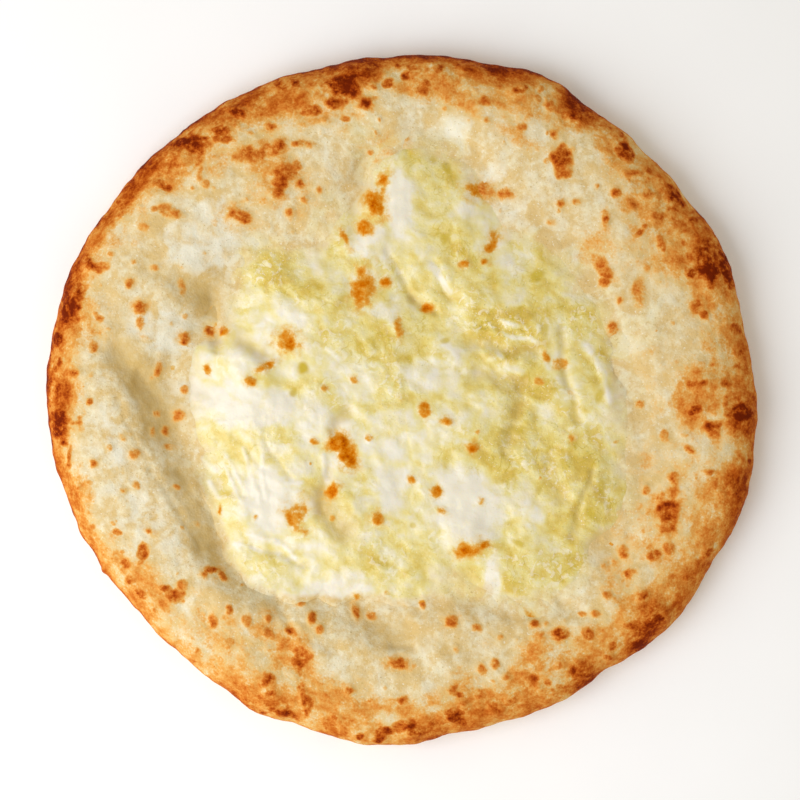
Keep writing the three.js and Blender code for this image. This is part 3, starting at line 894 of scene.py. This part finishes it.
# %% Scorched spots
SCORCHES = 120
SCORCH_SEED = 23
SCORCH = {"inset": (1.6, 4), "width": (2.5, 6), "length": (1, 1.8), "tone": (0.45, 0.8)}
SCORCH_GLOW = (0.2, 1)  # a bearing is kept where the glow is stronger than a number drawn between these
BURN_FRAY = [(6.0, 0.6, 21), (2.2, 0.4, 22)]
BLISTER_EDGE = (1.6, 0.25)
BLISTER_TONE = 0.94
HALO_EDGE = (2.8, 0.8)
HALO_TONE = 0.42  # of the golden ring round a blister


def scorch_bearing(draw):
    """A random bearing, more often one where the rim glows."""
    strength = 0
    while strength < draw.uniform(*SCORCH_GLOW):
        angle = draw.uniform(0, 2 * np.pi)
        strength = glow_at(angle)[0]
    return angle


def marked(places):
    """How dark the marks are at each place: soft burns, and crisp blisters with a golden ring."""
    burns = soft_patches(places, RIM_BURNS + scorches, BURN_FRAY, BURN_EDGE)
    blisters = soft_patches(places, DOUGH_MARKS + CHEESE_MARKS + freckles, FRAY, BLISTER_EDGE)
    halos = soft_patches(places, DOUGH_MARKS + CHEESE_MARKS, FRAY, HALO_EDGE)
    return np.max([burns, BLISTER_TONE * blisters, HALO_TONE * halos], axis=0)


draw = np.random.default_rng(SCORCH_SEED)
scorches = [random_mark(draw, scorch_bearing(draw), SCORCH) for _ in range(SCORCHES)]
print(f"{SCORCHES} scorched spots")

# %% [markdown]
# ## What the loaf's points know
#
# The loaf's points get numbers of the same kinds. The top takes the glow and the marks, and its inner slope
# the smear of cheese. The side fades to pale dough above the foot, and the underside is toasted in patches
# where it touched the hot tray. The thin edge of the cheese is toasted along with the dough below it.

# %% Numbers for the loaf
EDGE_LINE_TONE = 0.4
MOST_TOAST = 0.86  # of an even crust, so that its blotches still show
TOP_FROM = (4, 9)  # heights between which the side passes into the top
SIDE_PALE = (1.0, 7.0)  # heights between which the side turns from pale to toasted
SIDE_GLOW = 0.75
PALE_TOAST = 0.15
FOOT = 0.05  # height below which a point is on the underside
TRAY_TOAST = 0.42
TRAY_FRAY = [(30, 0.16, 41), (9, 0.14, 42)]
TRAY_EDGE = (8, 20)  # how far in the underside starts to brown and is brown
SMEARED = (14, 34)  # how far in the dough starts to be smeared with cheese and is smeared
WRINKLED_BEARING = np.radians(225)  # where the rim's inner slope is deep and its skin wrinkled
WRINKLED_SPREAD = (-0.3, 0.6)  # cosines of the turns from there at which it is smooth and is wrinkled
LEAST_WRINKLED = 0.2

loaf_places = mesh_points(loaf.data)
flat_places = loaf_places * (1, 1, 0)
height = loaf_places[:, 2]
glow, inset, angle, line = rim_toast(loaf_places)
upper = smoothstep(*TOP_FROM, height)
# The edge line adds charring and painted shade along the silhouette.
top_toast = np.minimum(glow + EDGE_LINE_TONE * line, MOST_TOAST)
side_toast = PALE_TOAST + smoothstep(*SIDE_PALE, height) * SIDE_GLOW * glow
tray = TRAY_TOAST + sum(strength * noise(flat_places, size, seed) for size, strength, seed in TRAY_FRAY)
tray_toast = PALE_TOAST + tray * smoothstep(*TRAY_EDGE, inset)
toast = np.where(height < FOOT, tray_toast, upper * top_toast + (1 - upper) * side_toast)
inner = smoothstep(*SMEARED, inset) * upper
wrinkled = smoothstep(*WRINKLED_SPREAD, np.cos(angle - WRINKLED_BEARING))
slope = inner * (LEAST_WRINKLED + (1 - LEAST_WRINKLED) * wrinkled)
mark = marked(flat_places) * upper
lift = blister_lift(flat_places, all_marks) * upper
# The fold depth also sets the painted shade in grooves.
fold = fold_depth(flat_places, DOUGH_FOLDS) * inner
curd, milk = fat_and_whey(flat_places)
store(loaf, toast=toast, mark=mark, lift=lift, slope=slope, fold=fold, curd=curd * inner, milk=milk * inner)
thin_toast = rim_toast(cheese_places)[0] * (1 - cheese_sheet)
store(cheese, toast=thin_toast, mark=marked(cheese_places))
print(f"loaf toast from {toast.min():.2f} to {toast.max():.2f}")

# %% [markdown]
# ## Coordinates that follow the rim
#
# Dough stretches round the loaf as it rises, so its fibres, wrinkles and scorched streaks run along the
# rim. A noise that is read on plain coordinates has no direction. These coordinates run fast outwards
# and slowly round the loaf, and the same few nodes give them to a material or to a geometry tree.

# %% Coordinates that follow the rim
RIM_RADIUS = 100 * MM  # where a pattern is stretched by just as much as it is told


def rim_way(tree, where, stretch):
    """Coordinates for a pattern that is so many times longer round the loaf than it is wide."""
    flat = add(tree, "VectorMath", where, (1, 1, 0), operation="MULTIPLY")
    outward = add(tree, "VectorMath", flat, operation="NORMALIZE")
    around = add(tree, "VectorMath", outward, RIM_RADIUS / stretch, operation="SCALE")
    reach = add(tree, "CombineXYZ", Z=add(tree, "VectorMath", flat, operation="LENGTH"))
    return add(tree, "VectorMath", around, reach, operation="ADD")


# %% [markdown]
# ## How brown each place is
#
# Dough and cheese brown by the same rule. It reads the toast and the marks that are kept at the points.
# Noise of three sizes is added before any colour is chosen, so a soft gradient breaks up into the blotches,
# flecks and grit of a real crust. Marks are more even, so they get less of it.

# %% Browning
BLOTCH = 6.0 * MM
BLOTCH_STRETCH = 1.5  # how much longer than wide, along the rim
FLECK = 2.8 * MM
GRIT = 0.9 * MM
# How much blotches, flecks and grit change the tone: for a whole toast, and where there is none.
TONE_NOISE = [(0.36, 0.04), (0.2, 0.03), (0.16, 0.015)]
MARK_NOISE = [0.42, 0.14]  # how much flecks and grit change a mark


def browning(tree, where):
    """How brown each place is, and two fine patterns that a bump can use."""
    toast, mark = [add(tree, "Attribute", attribute_name=name, output="Fac") for name in ("toast", "mark")]
    along = rim_way(tree, where, BLOTCH_STRETCH)
    rough = {"Detail": 4.0, "Roughness": 0.6, "normalize": False}
    blotches = add(tree, "TexNoise", along, Scale=1 / BLOTCH, **rough)
    flecks = add(tree, "TexNoise", where, Scale=1 / FLECK, **rough)
    grit = add(tree, "TexNoise", where, Scale=1 / GRIT, Detail=2.0, normalize=False)
    tone = toast
    for pattern, (share, rest) in zip((blotches, flecks, grit), TONE_NOISE):
        strength = add(tree, "Math", toast, share, rest, operation="MULTIPLY_ADD")
        tone = add(tree, "Math", pattern, strength, tone, operation="MULTIPLY_ADD")
    uneven = 1.0
    for pattern, share in zip((flecks, grit), MARK_NOISE):
        uneven = add(tree, "Math", pattern, share, uneven, operation="MULTIPLY_ADD")
    spots = add(tree, "Math", uneven, mark, operation="MULTIPLY")
    return add(tree, "Math", tone, spots, operation="MAXIMUM"), flecks, grit


# %% [markdown]
# ## The smear on pale dough
#
# Where dough stayed moist it is smeared with melted cheese: cream coloured, flecked and slightly waxy. Its
# colour is laid in layers, as a painter would: tan, butter and white over cream, each where a noise and the
# fat or whey at that place say so, and then fine specks, some dark and some pale.

# %% Smear of cheese
SMEAR = 9.0 * MM
SMEAR_LIGHT = (-0.6, 0.6)  # of the flecks, from its dark to its light cream
SMEAR_CREAM = ("#DAC08A", "#E8DCB7")
# Tan, butter and white: a share of the noise, where a layer starts and is whole, how much, and its colour.
SMEAR_LAYERS = [
    (1.0, -0.02, -0.5, 0.75, "#D9B978"),
    (0.6, 0.25, 1.2, 1.0, "#E0CC7E"),
    (0.8, 0.1, 0.9, 1.0, "#E9E3CC"),
]
SPECK = 0.9 * MM
DARK_SPECKS = (0.5, 0.8)  # where the noise starts to be a speck and is one
PALE_SPECKS = (-0.45, -0.8)
PALE_SPECK = "#F3EEDA"
SMEAR_SPECK = "#B79B5C"
SMEAR_SPECKLED = 0.6


def speckled(tree, where, colour, dark, amount):
    """A colour with dark and pale specks in it."""
    specks = add(tree, "TexNoise", where, Scale=1 / SPECK, Detail=1.0, normalize=False)
    for ends, tint in [(DARK_SPECKS, dark), (PALE_SPECKS, PALE_SPECK)]:
        speck = add(tree, "MapRange", specks, *ends, 0.0, amount)
        colour = add(tree, "Mix", speck, colour, tint, data_type="RGBA")
    return colour


def smear_colour(tree, where, flecks):
    """The colour of the thin smear of melted cheese that covers pale dough and the sheet's edge."""
    fat, whey = [add(tree, "Attribute", attribute_name=name, output="Fac") for name in ("curd", "milk")]
    smears = add(tree, "TexNoise", where, Scale=1 / SMEAR, Detail=4.0, Distortion=0.6, normalize=False)
    light = add(tree, "MapRange", flecks, *SMEAR_LIGHT)
    colour = add(tree, "Mix", light, *SMEAR_CREAM, data_type="RGBA")
    for (share, low, high, most, tint), start in zip(SMEAR_LAYERS, (0.0, fat, whey)):
        pattern = add(tree, "Math", smears, share, start, operation="MULTIPLY_ADD")
        layer = add(tree, "MapRange", pattern, low, high, 0.0, most)
        colour = add(tree, "Mix", layer, colour, tint, data_type="RGBA")
    return speckled(tree, where, colour, SMEAR_SPECK, SMEAR_SPECKLED)


# %% [markdown]
# ## Baked dough
#
# Wheat dough bakes to a thin matt crust. As it browns it passes through gold and orange to dark brown and
# char, and a colour ramp follows the tone along that path. Where it is pale the smear shows, and grooves get
# a painted shade, a tan tint. Light enters the crumb a little way, and red light furthest.

# %% Baked dough material
CRUST_STOPS = [
    (0.14, "#E2C88F"), (0.25, "#E2B96F"), (0.37, "#DEA352"), (0.49, "#D48636"), (0.61, "#C46A20"),
    (0.73, "#AF5010"), (0.86, "#8F3406"), (1.0, "#702104"),
]
BROWNED = (0.1, 0.4)  # tones at which the crust starts to show and hides the smear
# Painted shade in grooves: a tan tint that grows with a groove's depth.
GROOVE_SHADE_COLOUR = "#C8AA68"
GROOVE_SHADE = (0.2, 2.4, 0.0, 0.75)  # depths at which it starts to be tan and is, and how tan
FOOD_SKIN = {"IOR": 1.45, "Subsurface Radius": (1.0, 0.8, 0.55)}
DOUGH_SKIN = {"Specular IOR Level": 0.02, "Subsurface Weight": 0.1, "Subsurface Scale": 1.2 * MM}
DOUGH_ROUGHNESS = (0.12, 0.45)  # what browning adds, and that of pale dough
DOUGH_GRIT = 0.6  # height of the grit beside that of the flecks
GRAIN_DEPTH = 0.07 * MM


def browned_over(tree, colour, tone, stops):
    """A colour that gets painted shade, a tan tint, in grooves and browns along a ramp, and how far it has
    browned.
    """
    fold = add(tree, "Attribute", attribute_name="fold", output="Fac")
    # Painted shade: the deeper a groove, the more tan it is.
    tan = add(tree, "MapRange", fold, *GROOVE_SHADE)
    colour = add(tree, "Mix", tan, colour, GROOVE_SHADE_COLOUR, data_type="RGBA")
    ramp = add(tree, "ValToRGB", tone, stops=stops)
    browned = add(tree, "MapRange", tone, *BROWNED, interpolation_type="SMOOTHSTEP")
    return add(tree, "Mix", browned, colour, ramp, data_type="RGBA"), browned


def baked_dough():
    material, tree = new_material("baked_wheat_dough")
    where = add(tree, "TexCoord", output="Object")
    tone, flecks, grit = browning(tree, where)
    colour, browned = browned_over(tree, smear_colour(tree, where, flecks), tone, CRUST_STOPS)
    rough = add(tree, "Math", browned, *DOUGH_ROUGHNESS, operation="MULTIPLY_ADD")
    grain = add(tree, "Math", grit, DOUGH_GRIT, flecks, operation="MULTIPLY_ADD")
    bump = add(tree, "Bump", Height=grain, Distance=GRAIN_DEPTH)
    coat(tree, FOOD_SKIN | DOUGH_SKIN | {"Base Color": colour, "Roughness": rough, "Normal": bump})
    return material


dough_material = baked_dough()
print(f"material: {dough_material.name}, {len(dough_material.node_tree.nodes)} nodes")

# %% [markdown]
# ## Lumps and oil
#
# Where butterfat gathered, melted curd is lumpy, with thin lines of oil between the lumps. A cell pattern
# gives the lumps, on coordinates that are bent by noise, because plain cells look like tiles. A line of oil
# is drawn where a broad noise passes through zero, which gives it a long and wandering way.

# %% Lumps and oil
FLAT_NOISE = {"noise_dimensions": "2D", "normalize": False}  # the same at any height
CLUMP = 5.5 * MM
CLUMP_CELLS = {"voronoi_dimensions": "2D", "feature": "SMOOTH_F1", "Smoothness": 0.35}
LUMP_HEIGHT = (-2.0, 0.75)  # turns the way from a lump's middle into a height
FLAKE_TURN = math.radians(30)
FLAKE_SHAPE = (0.55, 1.0, 0.0)  # a flake is longer than it is wide
BEND = (3.5 * MM, 3.5 * MM, 0.0)  # how far the coordinates of the flakes are bent
OIL = 9.0 * MM
LINE_REACH = 0.07  # how far from zero the noise still counts as a line
OILY = (-0.15, 0.3)  # of the drift, where oil starts to show and shows


def lumps(tree, where, scale):
    """Rounded lumps that touch: above zero on a lump, below zero in the gaps between them."""
    half = add(tree, "Math", scale, 0.5, operation="MULTIPLY")
    bent = add(tree, "TexNoise", where, Scale=half, Detail=2.0, output="Color", **FLAT_NOISE)
    bent = add(tree, "VectorMath", bent, BEND, where, operation="MULTIPLY_ADD")
    turned = add(tree, "VectorRotate", bent, Angle=FLAKE_TURN, rotation_type="Z_AXIS")
    shaped = add(tree, "VectorMath", turned, FLAKE_SHAPE, operation="MULTIPLY")
    away = add(tree, "TexVoronoi", shaped, Scale=scale, **CLUMP_CELLS)
    return add(tree, "Math", away, *LUMP_HEIGHT, operation="MULTIPLY_ADD")


def oily(tree, where, fat, drift, drops):
    """Thin wandering lines of oil where fat drifted together, and the drops."""
    waves = add(tree, "TexNoise", where, Scale=1 / OIL, Detail=2.0, Distortion=0.5, normalize=False)
    lines = add(tree, "MapRange", add(tree, "Math", waves, operation="ABSOLUTE"), LINE_REACH, 0.0)
    for weight in (fat, add(tree, "MapRange", drift, *OILY)):
        lines = add(tree, "Math", lines, weight, operation="MULTIPLY")
    return add(tree, "Math", lines, drops, operation="MAXIMUM")


# %% [markdown]
# ## Colour of the cheese
#
# Where whey and soft curd ran together the cheese is a smooth milky film. Where butterfat gathered it is
# yellow, with cream coloured crumbs and oil. A ramp runs from film to butter, and each pattern pushes a
# place along it, one way or the other. Crumbs, painted shade in hollows, oil and specks are laid over it.

# %% Colour of the cheese
BUTTER_STOPS = [
    (0.1, "#EAE4D1"), (0.32, "#E8DFB9"), (0.55, "#E6D997"), (0.78, "#E1CD74"), (1.0, "#D8BC50"),
]
PLAIN_YELLOW = 0.32  # place on the ramp where nothing pushes either way
BUTTER_PUSHES = [0.5, -0.55, -0.26, 0.27, 0.12]  # by fat, whey, clumps, drift and flecks
CRUMB = 2.8 * MM
CRUMBLED = 20.0 * MM
CRUMBLED_PALE = (-0.2, 0.4)  # of that noise, where crumbs start to be pale and are
# Crumbs, and painted shade in the hollows between lumps: where a layer starts and is whole, how much there is
# of it, and its colour.
CRUMB_AND_SHADE_LAYERS = [(0.1, 0.5, 0.65, "#F0E9CE"), (0.0, -0.6, 0.28, "#CFB062")]
OIL_COLOUR = "#CCB238"
CURD_SPECK = "#B0A45C"
CURD_SPECKLED = 0.7


def cheese_colour(tree, where, flecks, drift, fat, whey, drops):
    """The colour of the sheet before it browns: film, butter, crumbs, painted shade in hollows, oil and
    specks.
    """
    clumps = lumps(tree, where, 1 / CLUMP)
    crumbs = add(tree, "TexNoise", where, Scale=1 / CRUMB, Detail=3.0, Distortion=0.5, **FLAT_NOISE)
    crumbled = add(tree, "TexNoise", where, Scale=1 / CRUMBLED, **FLAT_NOISE)
    crumbled = add(tree, "MapRange", crumbled, *CRUMBLED_PALE)
    yellow = PLAIN_YELLOW
    for pattern, push in zip((fat, whey, clumps, drift, flecks), BUTTER_PUSHES):
        yellow = add(tree, "Math", pattern, push, yellow, operation="MULTIPLY_ADD")
    colour = add(tree, "ValToRGB", yellow, stops=BUTTER_STOPS)
    # The second layer is painted shade, tan in the hollows between lumps.
    for (low, high, most, tint), (pattern, weight) in zip(CRUMB_AND_SHADE_LAYERS, [(crumbs, crumbled), (clumps, fat)]):
        layer = add(tree, "MapRange", pattern, low, high, 0.0, most)
        layer = add(tree, "Math", layer, weight, operation="MULTIPLY")
        colour = add(tree, "Mix", layer, colour, tint, data_type="RGBA")
    oil = oily(tree, where, fat, drift, drops)
    colour = add(tree, "Mix", oil, colour, OIL_COLOUR, data_type="RGBA")
    specks = add(tree, "Math", fat, CURD_SPECKLED, operation="MULTIPLY")
    return speckled(tree, where, colour, CURD_SPECK, specks)


# %% [markdown]
# ## Melted cheese
#
# Fresh curd cheese melts to a wet, softly shining mass that light enters a little way. Blisters brown as
# the crust does, but more orange, because fat fries them, and they dry out and turn matt. Towards its edge
# the sheet takes on the colour of the dough's smear, so no hard line shows where it ends.

# %% Melted cheese material
FRIED_STOPS = [
    (0.14, "#E5CF8A"), (0.26, "#E1B960"), (0.38, "#DBA044"), (0.5, "#D58822"), (0.64, "#CC7000"),
    (0.8, "#B65400"), (1.0, "#883500"),
]
DRIFT = 16.0 * MM
EDGE_DRIFT = 0.35  # how far the drift moves the sheet's edge
SHEET_WHOLE = (0.2, 0.8)  # shares of the sheet at which it starts to cover the smear and hides it
# What wet cheese adds to dry, and what dry cheese has.
WETNESS = [("Roughness", -0.18, 0.46), ("Specular IOR Level", 0.36, 0.02), ("Subsurface Weight", 0.2, 0.1)]
CHEESE_DEPTH = 1.8 * MM  # how deep light enters
CHEESE_GRIT = 0.7  # height of the grit beside that of the flecks
GRAINY = (0.8, 0.2)  # what fat adds to the grain, and that of the film


def melted_cheese():
    material, tree = new_material("melted_curd_cheese")
    where = add(tree, "TexCoord", output="Object")
    tone, flecks, grit = browning(tree, where)
    names = ("curd", "milk", "oil", "sheet")
    fat, whey, drops, sheet = [add(tree, "Attribute", attribute_name=name, output="Fac") for name in names]
    drift = add(tree, "TexNoise", where, Scale=1 / DRIFT, Detail=4.0, Roughness=0.6, normalize=False)
    cover = add(tree, "Math", drift, EDGE_DRIFT, sheet, operation="MULTIPLY_ADD")
    cover = add(tree, "MapRange", cover, *SHEET_WHOLE)
    colour = cheese_colour(tree, where, flecks, drift, fat, whey, drops)
    colour = add(tree, "Mix", cover, smear_colour(tree, where, flecks), colour, data_type="RGBA")
    colour, browned = browned_over(tree, colour, tone, FRIED_STOPS)
    plain = add(tree, "Math", 1.0, browned, operation="SUBTRACT")
    wet = add(tree, "Math", cover, plain, operation="MULTIPLY")
    surface = {"Base Color": colour, "Subsurface Scale": CHEESE_DEPTH}
    for name, share, rest in WETNESS:
        surface[name] = add(tree, "Math", wet, share, rest, operation="MULTIPLY_ADD")
    grain = add(tree, "Math", grit, CHEESE_GRIT, flecks, operation="MULTIPLY_ADD")
    grainy = add(tree, "Math", fat, *GRAINY, operation="MULTIPLY_ADD")
    surface["Normal"] = add(tree, "Bump", grainy, Height=grain, Distance=GRAIN_DEPTH)
    coat(tree, FOOD_SKIN | surface)
    return material


cheese_material = melted_cheese()
print(f"material: {cheese_material.name}, {len(cheese_material.node_tree.nodes)} nodes")

# %% [markdown]
# ## Tools for the relief
#
# Now the two skins get their relief, with Geometry Nodes, because it follows rules and covers a whole
# surface. Every size is a named input of its tree, so all sizes of a tree stand in one short list. A tree
# adds one pattern after another to a height, and at its end moves each point by that height.

# %% Relief tools
def new_tree(name, sizes):
    """A geometry tree with one mesh in and out, and a named input for each size."""
    tree = bpy.data.node_groups.new(name, "GeometryNodeTree")
    tree.interface.new_socket("Geometry", in_out="INPUT", socket_type="NodeSocketGeometry")
    tree.interface.new_socket("Geometry", in_out="OUTPUT", socket_type="NodeSocketGeometry")
    for label in sizes:
        tree.interface.new_socket(label, in_out="INPUT", socket_type="NodeSocketFloat")
    return tree


def apply_tree(piece, tree, sizes):
    """Runs a tree on a piece with these sizes, and leaves the piece as a plain mesh."""
    modifier = piece.modifiers.new(tree.name, "NODES")
    modifier.node_group = tree
    for socket in tree.interface.items_tree:
        if socket.in_out == "INPUT" and socket.name in sizes:
            modifier[socket.identifier] = sizes[socket.name]
    depsgraph = bpy.context.evaluated_depsgraph_get()
    made = bpy.data.meshes.new_from_object(piece.evaluated_get(depsgraph), depsgraph=depsgraph)
    piece.modifiers.remove(modifier)
    piece.data = made
    made.name = piece.name
    print(f"{piece.name}: {tree.name} gives {len(made.vertices)} points, {len(made.polygons)} faces")


def rise(tree, height, pattern, label, weight=None):
    """Adds a pattern to a height, times the tree's input of that label and, if given, a weight."""
    amount = add(tree, "NodeGroupInput", output=label)
    if weight is not None:
        amount = add(tree, "Math", amount, weight, operation="MULTIPLY")
    return add(tree, "Math", pattern, amount, height, operation="MULTIPLY_ADD")


def grain_scale(tree, label):
    """The scale of a pattern whose size is the tree's input of that label."""
    return add(tree, "Math", 1.0, add(tree, "NodeGroupInput", output=label), operation="DIVIDE")


def finish_relief(tree, way, height, material):
    """Ends a relief tree: moves points some way by a height and coats the mesh with a material."""
    offset = add(tree, "VectorMath", way, height, operation="SCALE")
    mesh = add(tree, "NodeGroupInput", output="Geometry")
    moved = add(tree, "GeometryNodeSetPosition", mesh, Offset=offset)
    whole = add(tree, "GeometryNodeRealizeInstances", moved)
    add(tree, "NodeGroupOutput", add(tree, "GeometryNodeSetMaterial", whole, Material=material))


# %% [markdown]
# ## Relief of the crust
#
# The dough's tree lifts the blisters, adds soft puffs where steam pushed the crust up, puckers it all over,
# and pulls wrinkles along the rim's inner slope. The foot stays flat, as it did on the tray.

# %% Crust relief
SWELLING = {"Puff size": 24.0 * MM, "Puff rise": 1.0 * MM, "Pucker size": 6.0 * MM, "Pucker rise": 0.17 * MM}
CRUST_SIZES = SWELLING | {
    "Blister size": 2.2 * MM,
    "Blister rise": 0.9 * MM,
    "Wrinkle size": 5.0 * MM,
    "Wrinkle rise": 0.2 * MM,
    "Fold rise": -1.0 * MM,
}
WRINKLE_STRETCH = 5.0
PITTED = (0.4, 1.0)  # how uneven a blister's top is, and its mean height
ATTRIBUTE = "GeometryNodeInputNamedAttribute"
FLAT_FOOT = 3 * MM  # relief fades out below this height


def swelling(tree, where):
    """The height of the dough's puffs and puckers, which are the same at any height on the loaf."""
    puffs = add(tree, "TexNoise", where, Scale=grain_scale(tree, "Puff size"), **FLAT_NOISE)
    finer = grain_scale(tree, "Pucker size")
    puckers = add(tree, "TexNoise", where, Scale=finer, Detail=3.0, **FLAT_NOISE)
    return rise(tree, rise(tree, 0.0, puffs, "Puff rise"), puckers, "Pucker rise")


tree = new_tree("crust relief", CRUST_SIZES)
where = add(tree, "GeometryNodeInputPosition")
lift, slope, fold = [add(tree, ATTRIBUTE, name, data_type="FLOAT") for name in ("lift", "slope", "fold")]
pitted = add(tree, "TexNoise", where, Scale=grain_scale(tree, "Blister size"), normalize=False)
pitted = add(tree, "Math", pitted, *PITTED, operation="MULTIPLY_ADD")
along = rim_way(tree, where, WRINKLE_STRETCH)
wrinkles = grain_scale(tree, "Wrinkle size")
wrinkles = add(tree, "TexNoise", along, Scale=wrinkles, Detail=1.0, Distortion=0.8, normalize=False)
height = rise(tree, swelling(tree, where), pitted, "Blister rise", lift)
height = rise(tree, height, wrinkles, "Wrinkle rise", slope)
height = rise(tree, height, fold, "Fold rise")
above_foot = add(tree, "SeparateXYZ", where, output="Z")
height = add(tree, "Math", height, add(tree, "MapRange", above_foot, 0.0, FLAT_FOOT), operation="MULTIPLY")
finish_relief(tree, add(tree, "GeometryNodeInputNormal"), height, dough_material)
apply_tree(loaf, tree, CRUST_SIZES)

# %% [markdown]
# ## Relief of the cheese
#
# The cheese's tree works the same way, but moves every point straight up, so that the sheet's underside
# goes with its top. It swells as the dough does, so that the sheet follows what it lies on. Clumps and
# crumbs are the same patterns that the material colours, so a crumb is cream coloured and a hollow gets
# a painted tan shade. Some parts crumbled more than others, and milky film stays almost flat, because it
# was liquid.

# %% Cheese relief
CHEESE_SIZES = SWELLING | {
    "Clump size": CLUMP,
    "Clump rise": 0.25 * MM,
    "Crumb size": CRUMB,
    "Crumb rise": 0.2 * MM,
    "Crumbled size": CRUMBLED,
    "Blister rise": 0.6 * MM,
    "Fold rise": -1.0 * MM,
}
CURD_ROUGHER = (0.65, 0.4)  # what fat adds to the unevenness, and that of plain cheese
FILM_FLATTER = (-0.85, 1.0)  # what whey takes away from it, and what is left without whey
CRUMB_ROUNDING = (-0.2, 0.8)  # of the noise, where a crumb starts to rise and is at its top
CRUMBLED_RISE = (-0.4, 0.4, 0.2, 1.0)  # the noise from and to, and how high crumbs rise there

tree = new_tree("cheese relief", CHEESE_SIZES)
where = add(tree, "GeometryNodeInputPosition")
names = ("lift", "fold", "body", "curd", "milk")
lift, fold, body, fat, whey = [add(tree, ATTRIBUTE, name, data_type="FLOAT") for name in names]
curdy = add(tree, "Math", fat, *CURD_ROUGHER, operation="MULTIPLY_ADD")
runny = add(tree, "Math", whey, *FILM_FLATTER, operation="MULTIPLY_ADD")
uneven = add(tree, "Math", curdy, runny, operation="MULTIPLY")
uneven = add(tree, "Math", uneven, body, operation="MULTIPLY")
clumps = lumps(tree, where, grain_scale(tree, "Clump size"))
crumbs = grain_scale(tree, "Crumb size")
crumbs = add(tree, "TexNoise", where, Scale=crumbs, Detail=3.0, Distortion=0.5, **FLAT_NOISE)
crumbs = add(tree, "MapRange", crumbs, *CRUMB_ROUNDING, interpolation_type="SMOOTHSTEP")
crumbled = add(tree, "TexNoise", where, Scale=grain_scale(tree, "Crumbled size"), **FLAT_NOISE)
crumbled = add(tree, "MapRange", crumbled, *CRUMBLED_RISE)
height = rise(tree, swelling(tree, where), clumps, "Clump rise", uneven)
crumbled = add(tree, "Math", crumbled, uneven, operation="MULTIPLY")
height = rise(tree, height, crumbs, "Crumb rise", crumbled)
height = rise(tree, height, lift, "Blister rise")
height = rise(tree, height, fold, "Fold rise")
finish_relief(tree, (0, 0, 1), height, cheese_material)
apply_tree(cheese, tree, CHEESE_SIZES)

# %% [markdown]
# ## Hand the pieces over
#
# Each finished piece is attached to the body it moves with, and the solid that it stands for is hidden.

# %% Hand the pieces over
for piece, node, slot in [(loaf, "loaf", "baked_dough"), (cheese, "cheese", "melted_cheese")]:
    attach(piece, "root")
    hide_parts(node)
